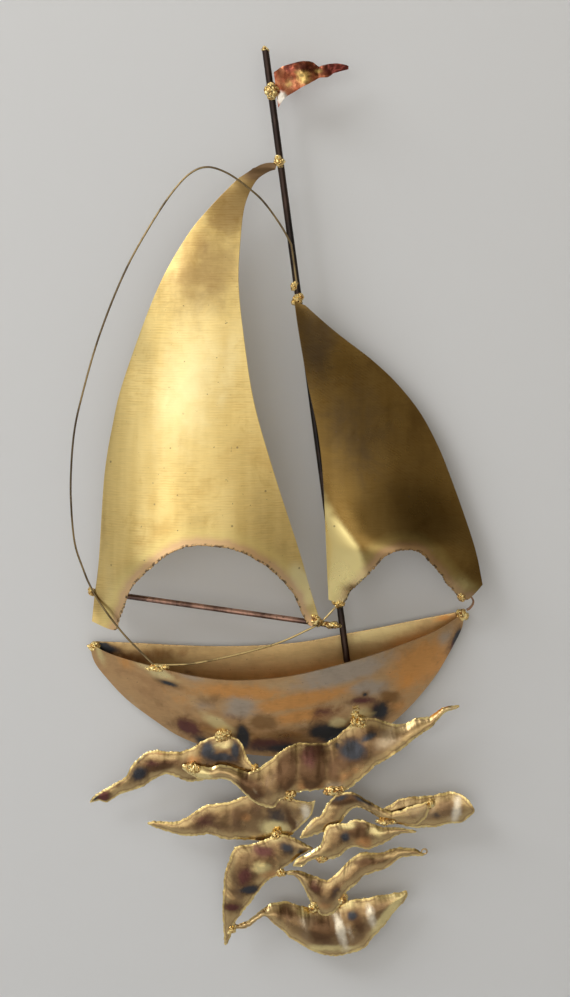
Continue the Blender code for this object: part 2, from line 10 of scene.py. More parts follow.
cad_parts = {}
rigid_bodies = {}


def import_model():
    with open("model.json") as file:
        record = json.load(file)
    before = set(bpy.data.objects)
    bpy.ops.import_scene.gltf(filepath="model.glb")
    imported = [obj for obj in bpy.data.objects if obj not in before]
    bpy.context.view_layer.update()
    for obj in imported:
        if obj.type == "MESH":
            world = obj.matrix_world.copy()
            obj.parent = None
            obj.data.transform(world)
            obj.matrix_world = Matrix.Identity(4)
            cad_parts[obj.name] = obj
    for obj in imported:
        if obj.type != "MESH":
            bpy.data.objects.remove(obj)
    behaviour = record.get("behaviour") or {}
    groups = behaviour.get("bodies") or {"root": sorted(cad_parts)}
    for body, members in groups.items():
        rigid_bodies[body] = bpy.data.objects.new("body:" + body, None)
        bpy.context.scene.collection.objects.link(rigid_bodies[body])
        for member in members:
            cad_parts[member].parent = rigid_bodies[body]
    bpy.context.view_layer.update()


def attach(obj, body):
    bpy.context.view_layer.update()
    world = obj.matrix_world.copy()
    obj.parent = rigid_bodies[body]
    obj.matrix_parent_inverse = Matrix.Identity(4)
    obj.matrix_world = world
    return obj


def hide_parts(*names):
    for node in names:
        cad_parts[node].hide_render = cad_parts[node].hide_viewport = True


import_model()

# Outlines are drawn in the plane of the wall as (x, z) in millimetres. A depth is
# a distance in front of the wall, so depth 10 is y = -0.010.
MM = 0.001
MAST_RADIUS = 2.38
BOOM_RADIUS = 1.985
WIRE_RADIUS = 0.7
SAIL_GAUGE = 0.7
HULL_GAUGE = 0.8
WAVE_GAUGE = 0.8
PENNANT_GAUGE = 0.5
LINK_GAUGE = 1.2
LINK_WIDTH = 3.2
KEEL_DEPTH = 1.1
HULL_FLARE = 42
HULL_BOW = 3
ROD_DEPTH = 16
SAIL_DEPTH = 20
WIRE_DEPTH = 19

MAST_TOP = (-6, 443.5)
MAST_FOOT = (54, 0)
BOOM_AFT = (-125.5, 80)
BOOM_FORE = (42.5, 56)

BACK_RIM = [
    (-127, 42), (-101, 41), (-61, 39), (-33, 38.5), (-3, 39.5), (22, 42),
    (45, 46.5), (69, 51), (98, 57), (131, 63.5),
]
FRONT_RIM = [
    (-127, 41), (-118, 36.5), (-100, 32.5), (-76, 28.5), (-54, 25), (-28, 23.5),
    (4, 26), (31, 31), (63, 38.5), (90, 46), (112, 53), (131, 62.5),
]
KEEL = [
    (-128, 37), (-125, 27), (-116, 15), (-103, 1), (-85, -13), (-67, -25),
    (-46, -33), (-19, -38), (8, -39.5), (39, -35), (60, -28.5), (77, -19.5),
    (95, -3), (111, 17), (122, 36), (130, 52),
]

# Sail edges as (x, z, depth before the sail's plane), foot to head.
MAIN_LEECH = [
    (-125, 60, 0.7), (-123, 77, 1), (-119.5, 102, 1.5), (-115, 160, 2),
    (-109, 195, 2), (-101, 226, 2), (-79, 284, 2), (-59, 320, 2),
    (-42, 341, 2), (-23, 360, 1.5),
]
MAIN_LUFF = [
    (30, 62.5, 0.7), (23, 86, 4), (16, 111, 8), (-1, 165, 14), (-14, 212, 16),
    (-21, 258, 15), (-24, 290, 12), (-23, 316, 9), (-20, 341, 4.5),
    (-13, 357, 1), (-5, 363.5, -1), (0.5, 365.5, -3),
]
MAIN_FOOT = [
    (-125, 60, 0.7), (-110, 54, 0.7), (-106, 62, 2), (-101, 77, 8), (-96, 87, 13),
    (-87, 97, 18), (-77, 106, 22), (-65, 113.5, 25), (-50, 116.5, 26.3),
    (-30, 114, 25.6), (-17, 108.5, 24), (-5, 100.5, 20), (5, 90.5, 14),
    (13, 80, 8), (17.5, 69, 3), (24.5, 56.5, 0.7), (30, 62.5, 0.7),
]
MAIN_HEAD = [(-23, 360, 2), (-9, 368.5, -0.5), (0.5, 369.5, -3), (0.5, 365.5, -3)]
JIB_LUFF = [
    (37, 75, 0.5), (35.5, 110, 4), (34, 141, 7.5), (32, 169, 9.5), (28.5, 195, 9.5),
    (22.5, 223, 8), (18.5, 245, 5.5), (15.5, 263, 3), (13.5, 278, 0.3),
]
JIB_LEECH = [
    (142.6, 84, -7), (138, 106, -9), (130, 131, -10.5), (119, 161, -10.5),
    (111, 180, -10), (99, 202, -9), (83, 222, -7), (66, 238, -5),
    (49, 251, -2.5), (37, 260.5, -1), (20, 275.5, 0.3),
]
JIB_FOOT = [
    (37, 75, 0.5), (47, 73, 0.7), (51, 81, 4), (56, 87, 8), (68, 101, 15),
    (75, 108.5, 18), (84, 112, 19), (96, 111, 18), (104, 104, 14), (112, 95, 9),
    (120, 84, 3), (131, 74, -4.5), (142.6, 84, -7),
]
JIB_HEAD = [(13.5, 278, 0.3), (20, 275.5, 0.5)]
# How far each sail swells forward between its side edges, at even heights from the
# foot's lowest point to the head.
MAIN_SWELL = (
    0, 4.5, 14, 20.5, 22.8, 21.2, 19, 16.8, 15, 13.4, 12, 10.7, 9.6, 8.7, 7.8, 7, 6.2, 5.4,
    4.5, 3.6, 2.7, 1.8, 1.1, 0.5, 0.1, 0, 0,
)
JIB_SWELL = (
    0, 7, 15, 18.7, 20.4, 21, 19, 15.5, 12, 9, 6.7, 5, 3.8, 2.9, 2.2, 1.6, 1.2, 0.9, 0.65,
    0.45, 0.3, 0.2, 0.1, 0, 0, 0, 0,
)

PENNANT_TOP = [
    (-0.3, 429), (5, 432), (10, 433.5), (16, 435), (21, 435.5), (25, 435),
    (29, 432.5), (32, 433), (36, 434), (42, 434.5), (49, 433),
]
PENNANT_BOTTOM = [
    (2.6, 406), (6, 411), (9, 413.5), (13, 415.5), (18, 418.5), (22, 420.5),
    (26, 423), (30, 425), (35, 425.5), (40, 428.5), (49, 430.8),
]
PENNANT_TOP_DEPTHS = (0, 4, 7, 6, 2, 1, 2, 1)
PENNANT_BOTTOM_DEPTHS = (1, 2, 6, 7, 4, 3, 1, 1)

# Wires, as (x, z, depth before the sail's plane or the wire's own).
SHROUD_ROUTE = [
    (10, 318, 3), (3, 330, 6), (-8, 344.5, 10), (-19, 354, 12), (-29, 361, 14),
    (-38, 365, 14), (-45, 366, 14), (-52, 364, 14), (-60, 358, 14), (-70, 346, 14),
    (-82, 328, 14), (-96, 304, 13), (-108, 278, 12), (-119, 249, 11),
    (-128, 219, 10), (-134.3, 193, 9), (-137.2, 166, 8), (-137.7, 142, 7),
    (-136, 115, 4), (-131, 97, 1.5), (-125.5, 83.5, 1.5), (-116, 69, 6),
    (-102, 51, 7),
]
SHROUD_LEAVES_MAST = 312
SHROUD_END_ON_MAST = 290
SHEET_ROUTE = [(-58, 31.5, 8), (-37, 35, 6), (-17, 39.5, 4), (4, 45.5, 2), (21, 53, 0.5)]
RIM_JOINT = (-81, 30.5)
LINK_ROUTE = [
    (130, 77, -6.3), (133.5, 76, -7.5), (136, 73, -9), (136, 70, -10.5), (134, 67, -12),
    (132.5, 66, -13),
]

# Waves: upper and lower edge, the depths along them before the plane in which the
# first wave leaves the hull, and how far the middle is crowned.
WAVES = {
    "wave_upper_left": (
        [
            (-129, -69), (-124, -63), (-117, -59), (-109, -54.5), (-103, -50),
            (-100, -43), (-93, -36), (-83, -31.5), (-72, -33), (-59, -31),
            (-49, -24.5), (-37, -21), (-29, -22), (-23, -27), (-19, -37), (-13, -46),
        ],
        [
            (-129, -71), (-122, -69.5), (-117, -70.5), (-109, -65), (-100, -62),
            (-92, -59), (-80, -51), (-72, -50.5), (-60, -55), (-49, -54),
            (-37, -51), (-24, -51), (-13, -48),
        ],
        (-2, 0, 1, 0.5, 0.5, 1), (-2, -1, 0.5, 1, 1, 1), 1.5,
    ),
    "wave_upper_right": (
        [
            (-64, -41), (-56, -41), (-46, -43), (-37, -41), (-28, -43), (-17, -46),
            (-5, -39), (6, -30.5), (15, -26.5), (26, -26), (34, -26.5), (42, -22.5),
            (54, -12), (60, -9), (67, -9), (75, -11), (88, -13), (98, -8.5),
            (108, -6.5), (116, -1), (127, 1.5),
        ],
        [
            (-64, -45), (-52, -52), (-35, -52), (-28, -55), (-22, -61), (-14, -68),
            (-8, -71), (-1, -71.5), (4, -66), (12, -62.5), (22, -60), (33, -59),
            (48, -60), (58, -53), (71, -41.5), (86, -32), (97, -23), (109, -14),
            (117, -5), (127, -1),
        ],
        (4.5, 5.5, 5, 3, 1, 0.7, 3, 6), (4.5, 6.5, 8, 8, 7, 7, 6, 6), 2.5,
    ),
    "wave_middle_left": (
        [
            (-89, -85), (-83, -83.5), (-70, -83.5), (-62, -80.5), (-54, -75),
            (-46, -71), (-32, -69), (-21, -65), (-9, -62), (4, -63), (14, -66),
            (22, -67.5), (28, -66.5),
        ],
        [
            (-89, -87), (-81, -90), (-72, -93), (-62, -95), (-45, -94), (-34, -97),
            (-16, -98), (0, -99), (9, -96), (15, -90), (20, -84.5), (25, -79),
        ],
        (-3, -1.5, -1, -1, 2, 5), (-3, -2, -1.5, -1.5, -0.5, 3), 1.5,
    ),
    "wave_arch": (
        [
            (17, -93), (21, -86), (26.5, -80), (32, -77), (37, -68), (44, -62),
            (52, -61), (58, -63), (64, -67), (71, -70.5), (76, -73.5), (80, -75),
            (88, -74), (95, -71), (109, -67),
        ],
        [
            (19, -95.5), (26, -93), (35, -90), (44, -86), (52, -76), (56, -73),
            (62, -74), (69, -78), (77, -83), (85, -85), (97, -86), (105, -81),
        ],
        (4, 3.5, 3, 3, 3, 2.5), (4, 4, 3, 3, 3, 2.5), 1,
    ),
    "wave_middle_right": (
        [
            (75, -75), (80, -72), (87, -67.5), (94, -66), (101, -65.5), (109, -65),
            (121, -62), (128, -63), (134, -66.5), (138.5, -73),
        ],
        [
            (76, -79), (86, -86), (99, -89), (113, -88), (120, -86), (126, -85.5),
            (132, -84), (139, -77),
        ],
        (-2, -2, -1, 1), (-2, -2, -1, 0), 2,
    ),
    "wave_centre_right": (
        [
            (13, -112), (15, -108), (20, -105.5), (26, -102), (32, -97), (34, -90),
            (37, -83.5), (49, -82), (54, -79.5), (61, -80), (70, -84), (78, -85.5),
            (88, -86), (98, -88),
        ],
        [
            (13, -114), (19, -114), (27, -108.5), (38, -109), (44, -107), (52, -101),
            (57, -100), (65, -102), (73, -99), (80, -95.5), (88, -91), (98, -90),
        ],
        (7, 7, 7, 7, 6, 6), (7, 8, 7.5, 7, 6, 6), 1.5,
    ),
    "wave_lower_left": (
        [
            (26, -101), (20, -97.5), (13, -93.5), (6, -91.5), (0, -92), (-8, -95.5),
            (-17, -98.5), (-25, -99), (-29, -101.5), (-33, -111), (-35.5, -120),
            (-36.5, -130), (-37, -144), (-36.5, -156), (-36, -171),
        ],
        [
            (26, -102.5), (18, -107), (12, -112), (6, -116), (3, -120.5), (-4, -124.5),
            (-9, -129), (-15, -138), (-22, -147.5), (-27, -154), (-30, -163),
            (-33.5, -172),
        ],
        (3.5, 3.5, 4, 4, 4, 3.5), (3.5, 4, 4.5, 5, 4.5, 3.5), 2,
    ),
    "wave_lower_right": (
        [
            (6, -118.5), (15, -118), (22, -119.5), (28, -122), (36, -125), (43, -120.5),
            (51, -112), (57, -106.5), (62, -104.5), (75, -105), (81, -102.5),
            (90, -101.5), (98, -102.5), (104, -106),
        ],
        [
            (6, -121), (15, -123), (20, -130.5), (25, -142), (30, -149), (36, -152),
            (42, -149), (46, -142), (50, -134), (56, -129), (61, -123), (67, -120.5),
            (78, -117), (88, -109.5), (104, -108.5),
        ],
        (2, 1.5, 1, 2, 1, 0.5), (2, 2.5, 1, 2, 1, 0.5), 2,
    ),
    "wave_bottom": (
        [
            (-28, -158), (-20, -155.5), (-12, -150), (-6, -145), (0, -142.5),
            (7, -142), (18, -145), (28, -147.5), (39, -147), (49, -143), (56, -140),
            (65, -139), (72, -137), (80, -136), (92, -133),
        ],
        [
            (-28, -161), (-20, -161), (-12, -155.5), (-6, -152.5), (-1, -158),
            (5, -163), (11, -169), (20, -175), (29, -180), (40, -182.5), (50, -181.5),
            (63, -177), (68, -170), (76, -161), (84, -150), (90, -143), (93, -138),
        ],
        (0.5, -2.5, -3.5, -3.5, -2, -1), (0.5, -1.5, -2.5, -2.5, -2, -1), 4,
    ),
}
HULL_JOINT_UPPER_LEFT = (-36, -22)

# Lumps of brazing metal: a point as (x, z, depth), half sizes across, up and deep,
# and the first piece that the lump sits on.
BRAZES = {
    "braze_mast_top": ((-6, 443, 16), (2.7, 2.3, 2.7), "mast"),
    "braze_pennant": ((-1.5, 417, 20.5), (5.2, 4.7, 3.7), "mast"),
    "braze_main_head": ((3, 370.5, 19), (4, 3.5, 3.5), "mast"),
    "braze_shroud_head": ((11.5, 288, 19), (2.6, 3.2, 2.6), "mast"),
    "braze_jib_head": ((15, 279, 19), (4, 4, 3.6), "mast"),
    "braze_boom_aft": ((-126, 80, 18), (2.6, 2.8, 4.5), "boom"),
    "braze_rim": ((-81, 29, 29), (7, 2.8, 3), "hull_front_plate"),
    "braze_main_tack": ((29, 60, 21), (4, 3.6, 3.6), "mainsail"),
    "braze_jib_tack": ((43, 72.5, 20), (3.8, 4, 4), "mast"),
    "braze_boom_fore": ((39.5, 57, 18.5), (6, 3, 3.2), "boom"),
    "braze_mast_foot": ((54, 0, 10), (7, 6.5, 9), "mast"),
    "braze_jib_clew": ((128, 76, 14), (3.2, 3, 3.2), "jib"),
    "braze_bow": ((130, 62, 4), (3.8, 4.5, 3.6), "hull_front_plate"),
    "braze_stern": ((-126, 38.5, 3), (5, 2.8, 2.8), "hull_front_plate"),
    "braze_hull_left": ((-36.5, -21.5, 15), (6.2, 4.6, 3.2), "wave_upper_left"),
    "braze_hull_right": ((57, -11, 15), (6, 4.4, 4.2), "wave_upper_right"),
    "braze_seam_left": ((-57, -44, 18), (4.5, 4.5, 3.6), "wave_upper_right"),
    "braze_seam_right": ((-13.5, -46, 15), (3.5, 3.5, 3.6), "wave_upper_left"),
    "braze_arch_top": ((41, -60, 20), (7, 3.8, 4.2), "wave_upper_right"),
    "braze_flap": ((10, -65, 18), (4, 4, 4.2), "wave_upper_right"),
    "braze_lower_left": ((1, -93, 15), (3.8, 3.6, 3.6), "wave_lower_left"),
    "braze_lower_pair": ((3.5, -119.5, 16), (3.6, 3.6, 3.2), "wave_lower_left"),
    "braze_centre": ((76, -86, 18), (6, 3, 3.6), "wave_arch"),
    "braze_centre_fold": ((32, -108, 20), (3.5, 3.3, 2.6), "wave_centre_right"),
    "braze_right_tail": ((108, -70, 14), (3.4, 3.4, 3.6), "wave_arch"),
    "braze_bottom_left": ((-30, -160, 15), (3.5, 3.8, 3.4), "wave_lower_left"),
    "braze_bottom_middle": ((25, -146, 13), (4.4, 3.4, 3.4), "wave_lower_right"),
    "braze_bottom_right": ((48, -140, 13), (4, 3.4, 3.4), "wave_lower_right"),
}

# Where the torch coloured the sheets, and where shade and highlights are painted on, as drawn:
# (x, z, half width, half height, turn in degrees, strength).
HULL_TINTS = {
    "copper": [
        (-23.5, 13.5, 31.3, 6.1, -2, 0.9), (17, 7.5, 37.4, 6.1, 12, 1),
        (17.5, -5.5, 23.1, 5.4, 10, 0.9), (100, 29, 23.1, 15, 35, 1),
        (83.5, -1.5, 8.2, 6.1, 0, 0.6), (-104.5, 30.5, 9.5, 6.1, -35, 0.5),
        (-65, 5.5, 15, 5.4, -25, 0.4),
    ],
    "grey": [
        (-24, 1.5, 12.2, 8.8, 0, 0.9), (45.5, 28, 29.9, 8.8, 14, 1),
        (65.5, 14, 13.6, 6.8, 0, 0.9), (-48, 3, 9.5, 5.4, 20, 0.5),
        (-57.5, 25, 10.9, 4.1, -15, 0.5), (118.5, 47.5, 6.1, 8.2, -30, 0.6),
    ],
    "brown": [
        (5, -28, 60, 8, 0, 0.8), (44, -15, 28, 8, 8, 0.6),
        (-8, -10.5, 10.2, 6.1, 0, 1), (79.5, 5.5, 8.2, 4.8, -25, 1),
        (7, -23.5, 20.4, 6.8, 0, 0.9), (-43, 7, 10.9, 4.8, 10, 0.6),
        (-81, -0.5, 6.1, 4.8, -55, 0.35),
    ],
    "maroon": [
        (-59, -17.5, 9.5, 6.1, -30, 1), (-3.5, -29, 17.7, 5.4, 0, 0.8),
        (60, 5, 9.5, 2.7, 0, 0.8), (34.5, -3, 10.9, 6.1, 10, 0.55),
        (126, 41.5, 6.1, 3.4, 65, 0.9), (-28, -7, 6.1, 2.7, -35, 0.4),
        (70.5, -2.5, 2.7, 6.1, 0, 0.7),
    ],
    "slate": [
        (-22, -23, 4.1, 9.5, 8, 1.1), (39, -20.5, 15, 7.5, -5, 1.1),
        (73, -5, 6.1, 6.8, 0, 1), (10.5, -32.5, 24.5, 4.1, 0, 0.8),
        (-50.5, -28.5, 8.2, 4.1, -30, 0.8), (-73, 18, 6.1, 1.6, -14, 1),
        (127, 45.5, 5.4, 2.7, 65, 1), (62, 9.5, 1.4, 1.4, 0, 0.9),
    ],
    "straw": [
        (-40, -11.5, 12.2, 4.4, -30, 0.9), (-80.5, 26, 12.9, 3.7, -24, 0.9),
        (59, -6, 7.5, 4.8, 0, 0.9), (43.5, -11.5, 5.4, 4.1, 0, 1),
        (-122, 36, 2.4, 8.2, 22, 0.9),
    ],
}
WAVE_TINTS = {
    "copper": [
        (-55, -39, 6.1, 3.4, 0, 0.7), (25, -55.5, 9.5, 5.4, 0, 1),
        (-80, -33.5, 15, 3.4, 0, 0.4), (-20, -80.5, 3.4, 2.7, 0, 0.8),
        (61, -95, 6.1, 4.8, 0, 0.9), (-5, -118, 9.5, 5.4, -35, 0.6),
        (107.5, -21.5, 10.9, 5.4, 35, 0.5), (52, -47.5, 12.2, 4.8, 30, 0.5),
        (-14, -60.5, 6.1, 4.1, 0, 0.5), (84.5, -113.5, 9.5, 3.4, 0, 0.4),
        (35, -143.5, 9.5, 3.4, 0, 0.4),
    ],
    "grey": [
        (16, -88, 4, 6, 20, 0.6), (77, -23.5, 10.9, 7.5, 35, 0.6),
        (24.5, -158, 8.2, 10.9, 0, 0.5), (122.5, -0.5, 6.1, 3.4, 30, 0.8),
        (41, -57.5, 6.8, 4.8, 0, 0.9), (101, -76, 16.3, 6.8, 0, 0.4),
    ],
    "brown": [
        (-80, -43.5, 15, 3.4, 15, 1), (-109, -57, 8.2, 2, 25, 0.6),
        (-45, -55.5, 13.6, 2.7, -12, 0.8), (-17.5, -57.5, 12.2, 8.2, -35, 0.9),
        # The two tall patches at (8, -46) and (26, -42) are painted shade: dark upright stripes
        # across the upper right wave.
        (8, -46, 6, 13, -8, 1.5), (26, -42, 8, 15, 0, 1.6), (40, -45, 6, 10, 10, 0.8),
        (53, -34, 15, 8, 30, 1.1), (-42, -83.5, 16.3, 7.5, 0, 0.5),
        (-24.5, -78.5, 17.7, 6.8, 0, 0.45), (11, -82, 3, 12, 22, 0.9),
        (49, -66, 17.7, 4.1, 8, 1),
        (56, -87.5, 13.6, 6.8, -10, 0.9), (83.5, -70, 6.1, 3.4, 0, 0.6),
        (28, -131, 8.2, 3.4, -50, 0.9), (41.5, -132.5, 8.2, 3.4, 58, 0.8),
        (66.5, -111, 13.6, 2.7, 4, 0.9), (33.5, -161.5, 12.2, 10.2, 0, 1),
        (9, -150, 8.2, 4.8, -25, 0.8), (-7, -111, 17.7, 6.1, -15, 0.6),
        (58.5, -158, 4.8, 10.2, 15, 0.8), (71, -145.5, 5.4, 8.2, 18, 0.4),
    ],
    "maroon": [
        (-49.5, -84, 8, 6.1, 0, 0.55), (-7.5, -103.5, 7.5, 3.7, -8, 0.85),
        (-21.5, -121.5, 4.8, 6.8, -25, 0.9), (-29, -143.5, 4.8, 2.4, 0, 1),
        (-3.5, -67.5, 9.5, 2.7, -25, 0.4), (24.5, -35.5, 6.8, 7.5, 0, 0.7),
        (-85.5, -41, 9.5, 2.7, 0, 0.6), (-120, -66, 4.1, 2.7, 20, 1),
        (51, -105, 4.8, 4.8, 0, 0.3), (28.5, -129.5, 5.4, 5.4, 30, 0.6),
    ],
    "slate": [
        (-46.5, -32.5, 4.8, 6.1, 0, 1.0), (-37, -37, 8.8, 2.7, 0, 1.1),
        (-27.5, -32.5, 2.7, 5.4, 0, 1.1), (-95, -49, 5.4, 4.1, 40, 1),
        (-93.5, -37, 4.1, 1.7, 50, 0.9), (54, -31, 8.5, 6, 0, 1.15),
        (64.5, -22, 6.1, 2.4, 28, 1), (2, -80, 7, 6, 0, 0.7),
        (-17.5, -130.5, 7.5, 2.7, 8, 1), (9, -101.5, 5.4, 4.1, -20, 0.8),
        (45.5, -65.5, 6.8, 1.7, 18, 0.8), (60.5, -67, 8.8, 1.7, -30, 0.8),
        (49, -92, 3.4, 3.4, -30, 0.9), (41.5, -134, 5.4, 2.7, 60, 0.5),
        (54, -152, 3.4, 2.7, 0, 0.9), (44, -28.5, 3.4, 2.7, 0, 0.6),
        (17.5, -103.5, 2.7, 2, 0, 0.6), (-127.5, -67.5, 5.4, 2, 45, 1.2),
        (113, -79, 2.7, 2.7, 0, 0.5),
    ],
    "straw": [
        (-36.5, -28.5, 7, 3, 8, 0.6), (-50, -48.5, 7.5, 3.4, -35, 1.1),
        (-0.5, -88.5, 8.2, 5.4, 0, 1.1), (-9, -115, 6.1, 4.1, 0, 0.9),
        (53.5, -13.5, 9.5, 2.7, 15, 0.6), (50.5, -83.5, 5.4, 3.4, 0, 0.8),
        (70.5, -88.5, 6.1, 4.8, 0, 0.7), (21.5, -148, 4.8, 4.1, 0, 0.9),
        (50.5, -142, 6.1, 4.8, 0, 0.7), (-63.5, -60.5, 6.1, 2.7, 0, 0.6),
        (109, -70, 4.8, 3.4, 0, 0.5), (80.5, -135.5, 12.2, 3.1, 8, 1),
        (79.5, -150.5, 16.3, 3.1, 52, 1.2), (38.5, -175.5, 20.4, 2.7, 0, 0.7),
    ],
    # Painted highlights: bright streaks where the folds of the bottom wave, the middle right
    # wave and the flap would catch the light.
    "painted_glint": [
        (46, -162.5, 3.4, 12.5, 16, 0.9), (67, -150.5, 3.4, 9.5, 17, 0.6),
        (126.5, -75, 3.2, 9, -8, 0.8), (22, -76, 4, 8, 12, 0.7),
        (53, -164.5, 3, 8.2, 16, 0.4), (21.5, -161, 3.4, 9.5, 14, 0.35),
    ],
}
BACK_TINTS = {
    "brown": [(-87, 32.5, 27.2, 5.4, 6, 0.7), (-104, 25, 15, 3.4, -20, 0.5)],
    # The straw patch is painted light: it brightens the right end of the back plate's visible
    # strip.
    "straw": [(74, 48, 26, 6, 12, 0.9)],
    "slate": [(-119, 38, 9.5, 3.4, -22, 1.0), (-61, 19, 7, 2, -8, 0.4)],
    "copper": [(118.5, 59, 8.2, 3.4, 14, 0.7)],
}
MAIN_TINTS = {
    # Most brown patches on the mainsail are painted shade: they darken its top, its leech and
    # the lower end of its bright middle.
    "brown": [
        (-30, 340, 18, 20, 0, 0.9), (-50, 300, 26, 34, -24, 0.75), (-46, 303, 12, 20, -18, 0.4),
        (-56, 316, 10, 7, 40, 0.45), (-28, 308, 10, 18, 0, 0.35), (-7, 364, 12, 7, 0, 1.2),
        (-20, 353, 12, 9, 40, 1), (1, 108, 10, 17.7, 15, 0.3),
        (-8.5, 131, 8.2, 27.2, 12, 0.35), (24, 70, 5, 6, 18, 0.6),
        (-62, 150, 24, 24, 0, 0.28), (-121.5, 74, 8, 12, 0, 0.5), (-117, 122, 5, 26, 3, 0.35),
    ],
    "maroon": [
        (-7, 364, 11, 5, 10, 1.3), (-46, 312, 2, 5.4, 0, 0.3), (-51, 292, 2.7, 4.1, 0, 0.25),
    ],
    # The sheen patches are painted highlights down the middle of the mainsail and near its
    # foot.
    "painted_sheen": [
        (-58, 225, 26, 56, -14, 0.5), (-32, 232, 10, 44, -14, 0.4), (-78, 190, 7, 50, -5, 0.3),
        (18, 86, 6, 13, 20, 1.2), (-112, 90, 6, 22, 0, 0.3),
    ],
}
JIB_TINTS = {
    # The sheen patches are a painted reflection: the bright wedge at the jib's lower left and a
    # glint by its clew.
    "painted_sheen": [
        (36, 112, 7, 30, 12, 1.5), (45, 116, 6, 20, 34, 1.6), (41, 98, 9, 18, 10, 1.5),
        (45, 80, 10, 9, 0, 1.3), (54, 94, 8, 8, 0, 1.1), (128, 86, 12, 9, 0, 0.35),
    ],
    # These brown patches are painted shade, darkening the jib's upper left and the top of its
    # foot's arch.
    "brown": [
        (26, 248, 16, 34, 0, 0.7), (56, 192, 28, 40, 20, 0.5), (75, 132, 22, 14, 0, 0.1),
        (84, 112, 18, 7, 0, 0.5), (108, 96, 8, 9, -40, 0.3),
    ],
}
ROD_TINTS = {
    "slate": [(-121, 79, 12, 8, 0, 1), (-98, 76, 5, 8, 0, 0.6), (34, 57, 16, 8, 0, 1.1)],
}
PENNANT_TINTS = {
    "grey": [(5, 412, 3.2, 4, 20, 1.2)],
    "copper": [(19, 426, 4, 5, 20, 1), (29, 429.5, 3, 1.5, 0, 0.8), (9, 421, 3, 3, 0, 0.5)],
    "maroon": [(20, 431, 8, 3, 0, 0.7), (42, 431, 10, 6, 0, 1), (9, 431, 5, 2.5, 0, 0.6)],
}


def at(x, z, depth):
    """A drawn point with its depth, all in millimetres, as a place in space."""
    return Vector((x, -depth, z)) * MM


def along(line, fraction):
    """The value at a fraction of a smooth run through evenly spaced values."""
    place = max(0.0, min(1.0, fraction)) * (len(line) - 1)
    index = min(int(place), len(line) - 2)
    t = place - index
    before, here = line[max(index - 1, 0)], line[index]
    after, beyond = line[index + 1], line[min(index + 2, len(line) - 1)]
    return (
        here * (2 * t**3 - 3 * t**2 + 1)
        + after * (3 * t**2 - 2 * t**3)
        + (after - before) * 0.5 * (t**3 - 2 * t**2 + t)
        + (beyond - here) * 0.5 * (t**3 - t**2)
    )


def even_line(points, count):
    """Evenly spaced points along the smooth curve through some given points."""
    steps = max(400, count * 2)
    fine = [along(points, i / steps) for i in range(steps + 1)]
    lengths = [0.0]
    for first, second in zip(fine, fine[1:]):
        lengths.append(lengths[-1] + (second - first).length)
    line = []
    step = 0
    for i in range(count + 1):
        goal = lengths[-1] * i / count
        while step < steps - 1 and lengths[step + 1] < goal:
            step += 1
        span = max(lengths[step + 1] - lengths[step], 1e-9)
        line.append(fine[step].lerp(fine[step + 1], min((goal - lengths[step]) / span, 1.0)))
    return line


def flat_line(drawn, count):
    """Evenly spaced points along a line drawn in the plane of the wall."""
    return even_line([at(x, z, 0) for x, z in drawn], count)


def deep_points(drawn, plane):
    """Points drawn as (x, z, depth before a plane)."""
    return [at(x, z, plane + depth) for x, z, depth in drawn]


def wobble(place, size):
    """Smooth noise from -1 to 1 that changes over about the given millimetres."""
    return noise.noise(place / (size * MM))


def settle(obj, slot, *nodes):
    """Ties a finished piece to the frame and hides the solids it stands for."""
    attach(obj, "root")
    if nodes:
        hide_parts(*nodes)
    return obj


def add_piece(name, mesh, material):
    mesh.materials.clear()
    mesh.materials.append(material)
    obj = bpy.data.objects.new(name, mesh)
    bpy.context.scene.collection.objects.link(obj)
    return obj


def shown_mesh(obj, name):
    """The shape of an object with its modifiers, as a mesh of its own."""
    bpy.context.view_layer.update()
    mesh = bpy.data.meshes.new_from_object(
        obj.evaluated_get(bpy.context.evaluated_depsgraph_get())
    )
    mesh.name = name
    return mesh


def sheet_mesh(name, place, across, up, gauge):
    """A grid moved to place(i, j) as the back face, thickened to the front."""
    bm = bmesh.new()
    bmesh.ops.create_grid(bm, x_segments=across, y_segments=up, size=0.5)
    for vert in bm.verts:
        vert.co = place(round((vert.co.x + 0.5) * across), round((vert.co.y + 0.5) * up))
    bmesh.ops.recalc_face_normals(bm, faces=bm.faces)
    if sum(face.normal.y * face.calc_area() for face in bm.faces) > 0:
        bmesh.ops.reverse_faces(bm, faces=bm.faces)
    mesh = bpy.data.meshes.new(name)
    bm.to_mesh(mesh)
    bm.free()
    sheet = bpy.data.objects.new(name, mesh)
    bpy.context.scene.collection.objects.link(sheet)
    skin = sheet.modifiers.new("Gauge", "SOLIDIFY")
    skin.thickness = gauge * MM
    skin.offset = 1
    thick = shown_mesh(sheet, name)
    bpy.data.objects.remove(sheet, do_unlink=True)
    thick.shade_smooth()
    thick.set_sharp_from_angle(angle=math.radians(45))
    return thick


def rod_mesh(name, points, radii, sides=12, closed=False):
    """A round rod or rim through some points, with its own radius at each."""
    curve = bpy.data.curves.new(name, "CURVE")
    curve.dimensions = "3D"
    curve.bevel_depth = MM
    curve.bevel_resolution = max(sides // 4 - 1, 0)
    curve.use_fill_caps = True
    spline = curve.splines.new("POLY")
    spline.points.add(len(points) - 1)
    spline.use_cyclic_u = closed
    for spline_point, point, radius in zip(spline.points, points, radii):
        spline_point.co = (*point, 1)
        spline_point.radius = radius
    rod = bpy.data.objects.new(name, curve)
    bpy.context.scene.collection.objects.link(rod)
    mesh = shown_mesh(rod, name)
    bpy.data.objects.remove(rod, do_unlink=True)
    mesh.shade_smooth()
    mesh.set_sharp_from_angle(angle=math.radians(50))
    return mesh


